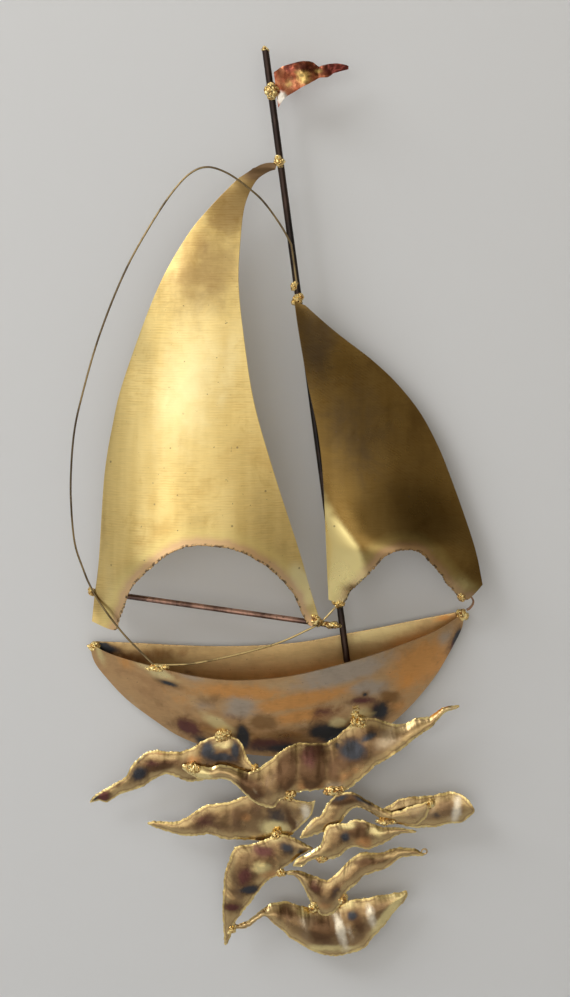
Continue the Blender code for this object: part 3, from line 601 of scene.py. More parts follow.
def joined_mesh(name, *meshes):
    """Several meshes as one, each keeping its own shading."""
    bm = bmesh.new()
    for mesh in meshes:
        bm.from_mesh(mesh)
    whole = bpy.data.meshes.new(name)
    bm.to_mesh(whole)
    bm.free()
    return whole


def melted_rim(name, line, thin, lump, pitch, closed=False):
    """The rounded, beaded edge that a torch leaves along a cut."""
    radii = []
    for point in line:
        swell = 0.5 + 0.5 * wobble(point, pitch) + 0.35 * wobble(point, pitch * 0.4)
        drop = max(wobble(point + Vector((7, 3, 5)), pitch * 2.2) - 0.25, 0) * 1.4
        radii.append(thin + lump * max(swell, 0) + lump * drop)
    return rod_mesh(name, line, radii, 8, closed)


def mark_rim(mesh, edge_points):
    """Keeps each vertex's distance in millimetres to the torch-cut edge."""
    near = kdtree.KDTree(len(edge_points))
    for index, point in enumerate(edge_points):
        near.insert(point, index)
    near.balance()
    rim = mesh.attributes.new("rim", "FLOAT", "POINT")
    for index, vert in enumerate(mesh.vertices):
        rim.data[index].value = min(near.find(vert.co)[2] / MM, 40)


def mark_tints(mesh, tints):
    """Keeps how far each vertex lies inside the marked places: torch colours, painted shade,
    painted light and painted highlights.
    """
    spots = [(vert.co.x / MM, vert.co.z / MM) for vert in mesh.vertices]
    darkest = tints.get("maroon", []) + tints.get("slate", [])
    for kind, patches in tints.items():
        if kind == "brown":
            patches = patches + [
                (x, z, w * 1.5 + 1.5, h * 1.5 + 1.5, turn, strength * 0.75)
                for x, z, w, h, turn, strength in darkest
            ]
        values = [0.0] * len(spots)
        for x, z, half_width, half_height, turn, strength in patches:
            cosine, sine = math.cos(math.radians(turn)), math.sin(math.radians(turn))
            reach = max(half_width, half_height) * 2.2
            for index, (here_x, here_z) in enumerate(spots):
                dx, dz = here_x - x, here_z - z
                if abs(dx) > reach or abs(dz) > reach:
                    continue
                apart = math.hypot(
                    (dx * cosine + dz * sine) / half_width,
                    (dz * cosine - dx * sine) / half_height,
                )
                values[index] = max(values[index], math.exp(-0.75 * apart**2) * strength)
        layer = mesh.attributes.new(kind, "FLOAT", "POINT")
        layer.data.foreach_set("value", values)


def add_node(material, kind, inputs=None, **settings):
    node = material.node_tree.nodes.new(kind)
    for name, value in settings.items():
        setattr(node, name, value)
    for name, value in (inputs or {}).items():
        if isinstance(value, bpy.types.NodeSocket):
            material.node_tree.links.new(value, node.inputs[name])
        else:
            node.inputs[name].default_value = value
    return node


def add_ramp(material, value, stops, interpolation="LINEAR"):
    """A run of colours, as (place, colour) or (place, grey)."""
    node = add_node(material, "ShaderNodeValToRGB", {"Fac": value})
    node.color_ramp.interpolation = interpolation
    ramp = node.color_ramp.elements
    while len(ramp) > 1:
        ramp.remove(ramp[-1])
    for index, (place, colour) in enumerate(stops):
        stop = ramp[0] if index == 0 else ramp.new(place)
        stop.position = place
        stop.color = (*colour, 1) if isinstance(colour, tuple) else (colour, colour, colour, 1)
    return node.outputs["Color"]


def add_noise(material, vector, scale, detail, rough=0.55, distortion=0.0):
    return add_node(
        material, "ShaderNodeTexNoise",
        {
            "Vector": vector, "Scale": scale, "Detail": detail, "Roughness": rough,
            "Distortion": distortion,
        },
    ).outputs["Fac"]


def add_mix(material, factor, first, second, blend="MIX"):
    node = add_node(material, "ShaderNodeMix", data_type="RGBA", blend_type=blend)
    for index, value in ((0, factor), (6, first), (7, second)):
        if isinstance(value, bpy.types.NodeSocket):
            material.node_tree.links.new(value, node.inputs[index])
        else:
            node.inputs[index].default_value = value if index == 0 else (*value, 1)
    return node.outputs[2]


def add_sum(material, operation, first, second):
    return add_node(
        material, "ShaderNodeMath", {0: first, 1: second}, operation=operation
    ).outputs[0]


def add_weighted(material, *layers):
    """The sum of some layers, each times its weight."""
    total = None
    for value, weight in reversed(layers):
        part = add_sum(material, "MULTIPLY", value, weight)
        total = part if total is None else add_sum(material, "ADD", part, total)
    return total


def shade(material, colour, pattern, stops, share=1.0):
    """The colour darkened by a pattern."""
    return add_mix(material, share, colour, add_ramp(material, pattern, stops), "MULTIPLY")


def speckle(material, colour, pattern, low, high, tone, strength=1.0):
    """Spots of another tone where a pattern is strongest."""
    where = add_ramp(material, pattern, [(0.0, 0.0), (low, 0.0), (high, strength)])
    return add_mix(material, where, colour, tone)


def scorch(material, colour, scale, low, high, width, uneven, stops, tone):
    """Dark notches that the torch left along the cut."""
    notches = add_ramp(
        material, add_noise(material, placed(material), scale, 2),
        [(0.0, 0.0), (low, 0.0), (high, 1.0)],
    )
    at_edge = add_ramp(material, rim_band(material, width, uneven), stops)
    return add_mix(material, add_sum(material, "MULTIPLY", notches, at_edge), colour, tone)


def roughness(material, scale, detail, *stops):
    """Duller and shinier places, from a noise of the given scale."""
    return add_ramp(material, add_noise(material, placed(material), scale, detail), stops)


def placed(material, scale=(1, 1, 1), turn=(0, 0, 0), shift=(0, 0, 0)):
    """The piece's own coordinates, stretched and turned for a pattern."""
    coordinates = add_node(material, "ShaderNodeTexCoord").outputs["Object"]
    return add_node(
        material, "ShaderNodeMapping",
        {
            "Vector": coordinates, "Scale": scale, "Location": shift,
            "Rotation": tuple(math.radians(angle) for angle in turn),
        },
    ).outputs["Vector"]


def new_finish(name, metallic=1.0):
    material = bpy.data.materials.new(name)
    material.use_nodes = True
    material.node_tree.nodes["Principled BSDF"].inputs["Metallic"].default_value = metallic
    return material


def set_finish(material, colour, rough, height, strength, distance):
    shader = material.node_tree.nodes["Principled BSDF"]
    links = material.node_tree.links
    links.new(colour, shader.inputs["Base Color"])
    links.new(rough, shader.inputs["Roughness"])
    bump = add_node(
        material, "ShaderNodeBump",
        {"Height": height, "Strength": strength, "Distance": distance},
    )
    links.new(bump.outputs["Normal"], shader.inputs["Normal"])
    return material


def attribute(material, name):
    return add_node(material, "ShaderNodeAttribute", attribute_name=name).outputs["Fac"]


def tints_and_painted_light(material, colour, tones, scale=120, edge=0.9):
    """Tints in the marked places, each with a cloudy edge: torch colours, and on some pieces
    painted shade, light and highlights.
    """
    cloudy = add_noise(material, placed(material), scale, 5, 0.6, 0.4)
    drift = add_sum(material, "MULTIPLY", add_sum(material, "SUBTRACT", cloudy, 0.5), edge)
    for kind, tone in tones.items():
        reach = add_sum(material, "ADD", attribute(material, kind), drift)
        share = add_ramp(material, reach, [(0.14, 0.0), (0.80, 1.0)], "EASE")
        colour = add_mix(material, share, colour, tone)
    return colour


def rim_band(material, width, uneven, scale=140):
    """From 0 at the torch-cut edge to 1 at a width from it, a little uneven."""
    rough = add_sum(material, "SUBTRACT", add_noise(material, placed(material), scale, 3), 0.5)
    strayed = add_sum(material, "MULTIPLY", rough, uneven)
    reach = add_sum(material, "ADD", attribute(material, "rim"), strayed)
    return add_node(
        material, "ShaderNodeMapRange",
        {"Value": reach, "From Min": 0.0, "From Max": width, "To Min": 0.0, "To Max": 1.0},
    ).outputs["Result"]


def sail_finish(name, light, dark, lines_turn, tones, painted_sheen, rosy, rough_low):
    """Rolled sheet brass: fine cross lines, old fingermarks, specks, a rosy cut edge, and
    painted highlights and shade in the marked places.
    """
    material = new_finish(name)
    plain = placed(material)
    clouds = add_noise(material, plain, 16, 5, 0.6, 0.6)
    colour = add_ramp(material, clouds, [(0.34, dark), (0.50, light), (0.72, light)], "EASE")
    colour = tints_and_painted_light(material, colour, tones, 60, 0.8)
    streaks = add_noise(material, placed(material, (70, 70, 5)), 1, 3)
    colour = shade(material, colour, streaks, [(0.35, (0.88, 0.85, 0.78)), (0.6, 1.0)])
    smudges = add_noise(material, placed(material, shift=(1, 4, 2)), 48, 5, 0.7, 1.0)
    colour = shade(material, colour, smudges, [(0.28, (0.90, 0.86, 0.78)), (0.42, 1.0)])
    bands = add_node(
        material, "ShaderNodeTexWave",
        {
            "Vector": placed(material, turn=(0, lines_turn, 0)), "Scale": 185,
            "Distortion": 2.2, "Detail": 3, "Detail Scale": 0.8,
        },
        wave_type="BANDS", bands_direction="Z",
    ).outputs["Fac"]
    dashes = add_noise(material, placed(material, (110, 110, 420), (0, lines_turn, 0)), 1, 2)
    waves = add_sum(
        material, "MULTIPLY", bands, add_ramp(material, dashes, [(0.40, 0.15), (0.60, 1.0)])
    )
    patches = add_ramp(material, add_noise(material, plain, 24, 3), [(0.40, 0.1), (0.60, 1.0)])
    ripples = add_sum(material, "MULTIPLY", waves, patches)
    colour = shade(material, colour, ripples, [(0.0, 1.0), (1.0, (0.87, 0.81, 0.72))], 0.9)
    fine = add_noise(material, placed(material, (120, 120, 2600), (0, lines_turn, 0)), 1, 2)
    colour = shade(material, colour, fine, [(0.3, 0.80), (0.7, 1.0)], 0.6)
    # Painted highlights in the places marked as sheen.
    colour = tints_and_painted_light(material, colour, {"painted_sheen": painted_sheen}, 90, 0.4)
    grain = add_noise(material, plain, 900, 2)
    specks = add_noise(material, plain, 300, 3, 0.7)
    colour = speckle(material, colour, specks, 0.69, 0.75, (0.16, 0.10, 0.05))
    spots = add_node(
        material, "ShaderNodeTexVoronoi", {"Vector": plain, "Scale": 75, "Randomness": 1.0}
    ).outputs["Distance"]
    spot_mask = add_ramp(material, spots, [(0.0, 0.8), (0.05, 0.5), (0.07, 0.0)])
    colour = add_mix(material, spot_mask, colour, (0.20, 0.13, 0.07))
    band = rim_band(material, 15.0, 4.0, 110)
    rose = add_ramp(
        material, band,
        [
            (0.0, (0.66, 0.43, 0.20)), (0.10, (0.78, 0.50, 0.28)), (0.24, (0.74, 0.47, 0.28)),
            (0.38, (0.82, 0.60, 0.28)), (0.55, (0.92, 0.77, 0.31)), (0.8, (0.90, 0.75, 0.30)),
        ],
    )
    how_rosy = add_ramp(
        material, band,
        [(0.0, rosy), (0.20, rosy * 0.8), (0.38, rosy * 0.5), (0.6, rosy * 0.3), (0.95, 0.0)],
    )
    colour = add_mix(material, how_rosy, colour, rose)
    colour = scorch(
        material, colour, 420, 0.50, 0.57, 1.6, 0.6, [(0.0, 1.0), (0.5, 0.7), (0.9, 0.0)],
        (0.07, 0.05, 0.04),
    )
    rough = roughness(material, 30, 4, (0.3, rough_low), (0.75, rough_low + 0.10))
    height = add_weighted(material, (ripples, 0.3), (fine, 0.6), (grain, 0.25))
    return set_finish(material, colour, rough, height, 0.35, 0.00012)


def heated_finish(
    name, base, tones, rim_stops, how_rim, rim_width, stretch, scale, rough_low, mottled
):
    """Sheet brass coloured by the torch: tints round the joints and along the cut, with some
    painted highlights, shade and light in the marked places.
    """
    material = new_finish(name)
    plain = placed(material)
    clouds = add_noise(material, placed(material, stretch), scale, 5, 0.6, 0.8)
    colour = add_ramp(material, clouds, base, "EASE")
    band = rim_band(material, rim_width, rim_width * 0.35)
    colour = add_mix(
        material, add_ramp(material, band, how_rim), colour, add_ramp(material, band, rim_stops)
    )
    bare = colour
    # Torch colours, with painted highlights and painted shade on the waves and painted light on
    # the back plate.
    colour = tints_and_painted_light(material, colour, tones)
    edge = add_ramp(material, rim_band(material, 2.0, 1.6, 320), [(0.25, 1.0), (0.8, 0.0)])
    colour = add_mix(material, edge, colour, bare)
    lines = add_noise(material, placed(material, (160, 160, 2400)), 1, 2)
    colour = shade(material, colour, lines, [(0.3, 0.8), (0.7, 1.0)], 0.5)
    mottle = add_noise(material, placed(material, shift=(2, 5, 1)), 110, 4, 0.6, 0.2)
    colour = shade(material, colour, mottle, [(0.30, mottled), (0.52, 1.0)])
    soot = add_noise(material, plain, 340, 3, 0.7)
    colour = speckle(material, colour, soot, 0.68, 0.76, (0.09, 0.06, 0.05), 0.8)
    colour = scorch(
        material, colour, 500, 0.55, 0.63, 1.5, 0.8, [(0.0, 0.75), (0.5, 0.5), (0.9, 0.0)],
        (0.16, 0.09, 0.045),
    )
    grain = add_noise(material, plain, 700, 3)
    dents = add_noise(material, plain, 90, 3)
    rough = roughness(material, 45, 4, (0.3, rough_low), (0.75, rough_low + 0.14))
    rough = add_mix(material, edge, rough, (0.16, 0.16, 0.16))
    height = add_weighted(material, (dents, 1.5), (lines, 0.4), (grain, 0.3))
    return set_finish(material, colour, rough, height, 0.4, 0.0002)


def bead_finish(name):
    """Brazing metal: bright gold, with dark flux in the creases."""
    material = new_finish(name)
    plain = placed(material)
    colour = add_ramp(
        material, add_noise(material, plain, 300, 5, 0.65, 1.2),
        [
            (0.32, (0.16, 0.08, 0.04)), (0.42, (0.62, 0.36, 0.13)), (0.52, (0.92, 0.70, 0.28)),
            (0.68, (0.98, 0.86, 0.48)),
        ],
    )
    flux = add_noise(material, plain, 460, 3, 0.7)
    colour = speckle(material, colour, flux, 0.58, 0.66, (0.08, 0.05, 0.035), 0.95)
    rough = roughness(material, 300, 3, (0.35, 0.16), (0.7, 0.40))
    return set_finish(material, colour, rough, add_noise(material, plain, 420, 3), 0.4, 0.0003)


def rod_finish(name, black, copper, warm_place, sooty=False):
    """Rod scorched black by the torch, with copper lights where it was wiped."""
    material = new_finish(name)
    plain = placed(material)
    clouds = add_noise(material, placed(material, (60, 60, 14)), 1, 4, 0.6, 0.6)
    colour = add_ramp(
        material, clouds, [(0.35, black), (warm_place, copper), (0.8, copper)], "EASE"
    )
    if sooty:
        colour = tints_and_painted_light(material, colour, {"slate": (0.06, 0.045, 0.05)}, 160, 0.7)
    soot = add_noise(material, plain, 380, 3, 0.7)
    colour = speckle(material, colour, soot, 0.60, 0.7, (0.05, 0.04, 0.04), 0.8)
    rough = roughness(material, 120, 3, (0.3, 0.25), (0.75, 0.45))
    return set_finish(material, colour, rough, add_noise(material, plain, 600, 3), 0.3, 0.0001)


def pennant_finish(name):
    """Copper flame-red sheet with a splash of gold and a silvery patch by the mast."""
    material = new_finish(name)
    plain = placed(material)
    colour = add_ramp(
        material, add_noise(material, plain, 90, 4, 0.6, 1.0),
        [
            (0.32, (0.13, 0.035, 0.025)), (0.45, (0.42, 0.12, 0.06)), (0.6, (0.56, 0.22, 0.11)),
            (0.75, (0.32, 0.08, 0.045)),
        ],
    )
    colour = tints_and_painted_light(
        material, colour,
        {
            "copper": (0.86, 0.60, 0.22), "grey": (0.66, 0.61, 0.54),
            "maroon": (0.20, 0.05, 0.04),
        },
        260,
    )
    rough = roughness(material, 130, 3, (0.3, 0.2), (0.75, 0.36))
    return set_finish(material, colour, rough, add_noise(material, plain, 240, 4), 0.5, 0.0003)


# On the sails the brown tone paints shade and the sheen tone paints highlights.
mainsail_brass = sail_finish(
    "mainsail_brass", (0.94, 0.72, 0.30), (0.83, 0.59, 0.22), 0,
    {"brown": (0.50, 0.34, 0.14), "maroon": (0.28, 0.18, 0.10)}, (1.0, 0.86, 0.47), 0.95, 0.28,
)
# The jib is the mainsail's rolled brass with painted shade: its colours are much darker,
# because the jib faces away from the light.
jib_shaded_brass = sail_finish(
    "jib_shaded_brass", (0.285, 0.178, 0.055), (0.20, 0.12, 0.036), -32,
    {"brown": (0.16, 0.11, 0.06)}, (1.0, 0.82, 0.36), 0.5, 0.25,
)
HULL_TONES = {
    "copper": (0.76, 0.37, 0.12), "grey": (0.52, 0.42, 0.32), "brown": (0.34, 0.19, 0.08),
    "maroon": (0.17, 0.07, 0.06), "slate": (0.06, 0.062, 0.07), "straw": (0.82, 0.66, 0.33),
}
hull_brass = heated_finish(
    "hull_brass",
    [(0.32, (0.52, 0.30, 0.14)), (0.48, (0.62, 0.38, 0.18)), (0.70, (0.64, 0.43, 0.23))],
    HULL_TONES,
    [(0.0, (0.80, 0.58, 0.28)), (1.0, (0.70, 0.48, 0.26))],
    [(0.0, 0.8), (0.12, 0.3), (0.3, 0.0)],
    10.0, (0.3, 1, 1), 34, 0.26, 0.88,
)
hull_back_brass = heated_finish(
    "hull_back_brass",
    [(0.32, (0.58, 0.40, 0.19)), (0.55, (0.70, 0.50, 0.24)), (0.78, (0.66, 0.46, 0.23))],
    HULL_TONES,
    [(0.0, (0.70, 0.50, 0.25)), (1.0, (0.74, 0.52, 0.28))],
    [(0.0, 0.6), (0.12, 0.2), (0.3, 0.0)],
    10.0, (0.3, 1, 1), 26, 0.30, 0.88,
)
wave_brass = heated_finish(
    "wave_brass",
    [(0.30, (0.22, 0.13, 0.07)), (0.48, (0.50, 0.33, 0.15)), (0.66, (0.36, 0.235, 0.125))],
    {
        "copper": (0.72, 0.36, 0.14), "grey": (0.62, 0.48, 0.31),
        "brown": (0.16, 0.088, 0.045), "maroon": (0.16, 0.065, 0.055),
        "slate": (0.065, 0.066, 0.075), "straw": (0.93, 0.76, 0.36),
        # The glint tone paints highlights.
        "painted_glint": (1.0, 0.88, 0.68),
    },
    [
        (0.0, (1.0, 0.80, 0.38)), (0.06, (0.96, 0.73, 0.30)), (0.12, (0.70, 0.50, 0.22)),
        (0.17, (0.42, 0.27, 0.13)), (0.25, (0.66, 0.48, 0.23)), (0.42, (0.60, 0.42, 0.20)),
        (0.60, (0.36, 0.225, 0.11)), (0.85, (0.24, 0.145, 0.08)),
    ],
    [(0.0, 1.0), (0.14, 0.95), (0.3, 0.8), (0.6, 0.65), (1.0, 0.5)],
    11.0, (1, 1, 0.5), 60, 0.20, 0.86,
)
braze_gold = bead_finish("braze_gold")
mast_black = rod_finish("mast_black", (0.025, 0.024, 0.025), (0.10, 0.06, 0.045), 0.78)
boom_copper = rod_finish("boom_copper", (0.17, 0.10, 0.08), (0.56, 0.33, 0.25), 0.58, True)
wire_brown = rod_finish("wire_brown", (0.10, 0.075, 0.05), (0.38, 0.28, 0.14), 0.62)
sheet_gold = rod_finish("sheet_gold", (0.36, 0.26, 0.12), (0.80, 0.62, 0.28), 0.5)
link_dark = rod_finish("link_dark", (0.07, 0.05, 0.05), (0.40, 0.22, 0.12), 0.66)
pennant_copper = pennant_finish("pennant_copper")

# Hull: the flat back plate on the wall and the front plate that leans out from the keel.
BACK_STEPS, BACK_ROWS = 180, 40
FRONT_STEPS, FRONT_ROWS = 240, 56
rim_line = flat_line(BACK_RIM, BACK_STEPS)
keel_line = flat_line(KEEL, BACK_STEPS)


def back_place(i, j):
    point = keel_line[i].lerp(rim_line[i], j / BACK_ROWS)
    return Vector((point.x, 0.0, point.z))


def rim_depth(u):
    return KEEL_DEPTH + HULL_FLARE * max(math.sin(math.pi * u), 0) ** 0.8


front_rim = flat_line(FRONT_RIM, FRONT_STEPS)
front_keel = flat_line(KEEL, FRONT_STEPS)


def front_place(i, j):
    u, v = i / FRONT_STEPS, j / FRONT_ROWS
    point = front_keel[i].lerp(front_rim[i], v)
    depth = KEEL_DEPTH * (1 - v) + rim_depth(u) * v
    depth += HULL_BOW * math.sin(math.pi * v) * max(math.sin(math.pi * u), 0) ** 0.5
    dent = 0.5 * wobble(point, 55) + 0.22 * wobble(point, 22)
    depth += dent * math.sin(math.pi * v) * max(math.sin(math.pi * u), 0)
    point.y = -depth * MM
    return point


front_mesh = sheet_mesh("hull_front", front_place, FRONT_STEPS, FRONT_ROWS, HULL_GAUGE)
mark_rim(front_mesh, front_rim + front_keel)
mark_tints(front_mesh, HULL_TINTS)
hull_front = settle(
    add_piece("hull_front", front_mesh, hull_brass), "hull_brass", "hull_front_plate"
)
back_mesh = sheet_mesh("hull_back", back_place, BACK_STEPS, BACK_ROWS, HULL_GAUGE)
mark_rim(back_mesh, rim_line)
mark_tints(back_mesh, BACK_TINTS)
settle(
    add_piece("hull_back", back_mesh, hull_back_brass), "hull_brass", "hull_back_plate"
)


# Mast and boom, a little uneven where the torch passed.
def straight_rod(name, start, end, radius):
    points = [start.lerp(end, i / 200) for i in range(201)]
    radii = [radius * (0.985 + 0.015 * wobble(point, 9)) for point in points]
    mesh = rod_mesh(name, points, radii, 24)
    mark_tints(mesh, ROD_TINTS)
    return mesh


for name, start, end, radius, finish, node in (
    ("mast_rod", MAST_TOP, MAST_FOOT, MAST_RADIUS, mast_black, "mast"),
    ("boom_rod", BOOM_AFT, BOOM_FORE, BOOM_RADIUS, boom_copper, "boom"),
):
    mesh = straight_rod(name, at(*start, ROD_DEPTH), at(*end, ROD_DEPTH), radius)
    settle(add_piece(name, mesh, finish), "rod", node)


def mast_place(z, depth):
    """The point on the mast's line at a drawn height, at the given depth."""
    share = (MAST_TOP[1] - z) / (MAST_TOP[1] - MAST_FOOT[1])
    return at(MAST_TOP[0] + (MAST_FOOT[0] - MAST_TOP[0]) * share, z, depth)


# Below 1 the sails are fullest a little left of their middle.
FULLEST = 0.85
# The radius of a sail's sheared side edges.
SIDE_RADIUS = 0.3


def edge_at(line, height):
    """The point where a side edge crosses a height."""
    index = min(max(bisect([point.z for point in line], height), 1), len(line) - 1)
    low_end, high_end = line[index - 1], line[index]
    share = (height - low_end.z) / max(high_end.z - low_end.z, 1e-9)
    return low_end.lerp(high_end, max(0.0, min(1.0, share)))


def sail_piece(
    name, left_edge, right_edge, foot, head, swell, across, up, cut_from, cut_to, finish, node,
    tints
):
    """A sail between its four edges, torch-cut along the arch of its foot."""
    def edge(points, count):
        return even_line(deep_points(points, SAIL_DEPTH), count)

    left, right = edge(left_edge, up), edge(right_edge, up)
    bottom, top = edge(foot, across), edge(head, across)
    lowest = min(point.z for point in bottom)
    highest = max(point.z for point in top)
    ragged = []
    for i, point in enumerate(bottom):
        u = i / across
        inside = max(min((u - cut_from) / 0.03, 1, (cut_to - u) / 0.03), 0)
        step = bottom[min(i + 1, across)] - bottom[max(i - 1, 0)]
        out = Vector((step.z, 0, -step.x)).normalized()
        jag = 0.45 * wobble(point, 2.4) + 0.4 * wobble(point, 6)
        ragged.append(out * (jag * inside * MM))

    def place(i, j):
        u, v = i / across, j / up
        arch = bottom[i] - bottom[0].lerp(bottom[-1], u)
        peak = top[i] - top[0].lerp(top[-1], u)
        point = left[j].lerp(right[j], u) + arch * (1 - v) ** 3 + peak * v**12
        near, far = edge_at(left, point.z), edge_at(right, point.z)
        share = max(0.0, min(1.0, (point.x - near.x) / max(far.x - near.x, 1e-6)))
        forward = along(swell, (point.z - lowest) / (highest - lowest))
        sag = math.sin(math.pi * share**FULLEST)
        point.y = near.y * (1 - share) + far.y * share - forward * sag * MM
        loose = 0.55 * wobble(Vector((point.x, 0, point.z * 0.35)), 26)
        point.y -= loose * sag * math.sin(math.pi * v) * MM
        return point + ragged[i] * (1 - v) ** 70

    sheet = sheet_mesh(name, place, across, up, SAIL_GAUGE)
    first, last = round(cut_from * across), round(cut_to * across)
    half_gauge = Vector((0, -SAIL_GAUGE / 2 * MM, 0))
    cut = [place(i, 0) + half_gauge for i in range(first, last + 1)]
    fine = []
    for point in even_line(cut, (last - first) * 4):
        stray = Vector((wobble(point, 1.1), 0, wobble(point + Vector((0, 1, 0)), 1.1)))
        fine.append(point + stray * 0.55 * MM)
    rim = melted_rim(name + "_cut", fine, 0.22, 0.36, 1.5)
    parts = [sheet, rim]
    for i in (0, across):
        side = [place(i, j) + half_gauge for j in range(up + 1)]
        parts.append(rod_mesh(name + "_side", side, [SIDE_RADIUS] * len(side), 8))
    mesh = joined_mesh(name, *parts)
    mark_rim(mesh, fine)
    mark_tints(mesh, tints)
    return settle(add_piece(name, mesh, finish), "sail_brass", node)


sail_piece(
    "mainsail_sheet", MAIN_LEECH, MAIN_LUFF, MAIN_FOOT, MAIN_HEAD, MAIN_SWELL, 170, 150,
    0.07, 0.96, mainsail_brass, "mainsail", MAIN_TINTS,
)
sail_piece(
    "jib_sheet", JIB_LUFF, JIB_LEECH, JIB_FOOT, JIB_HEAD, JIB_SWELL, 150, 130,
    0.06, 0.92, jib_shaded_brass, "jib", JIB_TINTS,
)

# Pennant: thin copper, crumpled, its tip twisted.
FLAG_STEPS, FLAG_ROWS = 110, 16
flag_top = flat_line(PENNANT_TOP, FLAG_STEPS)
flag_bottom = flat_line(PENNANT_BOTTOM, FLAG_STEPS)


def pennant_place(i, j):
    u, v = i / FLAG_STEPS, j / FLAG_ROWS
    point = flag_bottom[i].lerp(flag_top[i], v)
    depth = ROD_DEPTH + along(PENNANT_TOP_DEPTHS, u) * v
    depth += along(PENNANT_BOTTOM_DEPTHS, u) * (1 - v)
    depth += math.sin(math.pi * v) * math.sin(math.pi * u)
    depth += (1.1 * wobble(point, 6) + 0.5 * wobble(point, 2.6)) * min(u * 6, 1)
    point.y = -depth * MM
    return point


flag_mesh = sheet_mesh("pennant_sheet", pennant_place, FLAG_STEPS, FLAG_ROWS, PENNANT_GAUGE)
mark_tints(flag_mesh, PENNANT_TINTS)
settle(
    add_piece("pennant_sheet", flag_mesh, pennant_copper), "pennant_copper", "pennant"
)

# Wires: the hooped shroud and the sheet, which meet on the hull's front rim.
hull_tree = BVHTree.FromObject(hull_front, bpy.context.evaluated_depsgraph_get())


def before_hull(x, z, clear):
    """A place in front of the hull's front plate, clear of its outer face."""
    hit = hull_tree.ray_cast(at(x, z, 1000), Vector((0, 1, 0)))[0]
    return hit + Vector((0, -clear * MM, 0))


on_mast = ROD_DEPTH + MAST_RADIUS + 0.9
rim_x, rim_z = RIM_JOINT
rim_place = before_hull(rim_x, rim_z - 3, 0.9)
shroud_line = [mast_place(SHROUD_END_ON_MAST, on_mast), mast_place(SHROUD_LEAVES_MAST, on_mast)]
shroud_line += deep_points(SHROUD_ROUTE, SAIL_DEPTH)
shroud_line.append(rim_place + Vector((-2, -0.5, 4)) * MM)
shroud_points = even_line(shroud_line, 320)
sheet_line = [rim_place + Vector((2.5, 0, 3.5)) * MM]
sheet_line += deep_points(SHEET_ROUTE, WIRE_DEPTH)
sheet_line += [at(31, 58.5, WIRE_DEPTH), mast_place(69, on_mast) + Vector((-3.5, 0, 0)) * MM]
sheet_points = even_line(sheet_line, 120)
for name, points, node, finish in (
    ("shroud_rod", shroud_points, "shroud_wire", wire_brown),
    ("sheet_rod", sheet_points, "sheet_wire", sheet_gold),
):
    mesh = rod_mesh(name, points, [WIRE_RADIUS] * len(points), 12)
    settle(add_piece(name, mesh, finish), "wire", node)

# The bent strip between the jib's foot and the bow.
LINK_STEPS, LINK_ROWS = 40, 8
link_line = even_line(deep_points(LINK_ROUTE, SAIL_DEPTH), LINK_STEPS)


def link_place(i, j):
    return link_line[i] + Vector((0, LINK_WIDTH * (j / LINK_ROWS - 0.5), 0)) * MM


link_mesh = sheet_mesh("bow_strip", link_place, LINK_STEPS, LINK_ROWS, LINK_GAUGE)
settle(add_piece("bow_strip", link_mesh, link_dark), "rod", "bow_link")


# Waves, bent to ride over the hull's plate where they cross it.
def over_hull(point):
    hit = hull_tree.ray_cast(Vector((point.x, -1, point.z)), Vector((0, 1, 0)))[0]
    return -hit.y / MM + 1 if hit else 0


wave_plane = -before_hull(*HULL_JOINT_UPPER_LEFT, 0.3).y / MM


def torn(point):
    """How far the torch strayed from the drawn line, in millimetres."""
    return 0.5 * wobble(point, 1.8) + 0.55 * wobble(point, 4.5) + 0.2 * wobble(point, 0.9)


# Where a drip of metal curls up at a wave's tip: its foot, centre, radius and depth.
TIP_CURLS = {"wave_lower_right": ((99, -106.6), (104.5, -105), 1.9, wave_plane + 0.9)}


def tip_curl(name, curl):
    """A thin rod that starts at a wave's tip and turns round on itself."""
    foot, (x, z), radius, depth = curl
    points = [at(*foot, depth - 0.4)]
    for angle in range(-100, 200, 12):
        turn = math.radians(angle)
        points.append(
            at(x + radius * math.cos(turn), z + radius * math.sin(turn), depth + angle / 300)
        )
    steps = 60
    radii = [0.75 - 0.3 * i / steps for i in range(steps + 1)]
    return rod_mesh(name, even_line(points, steps), radii, 8)


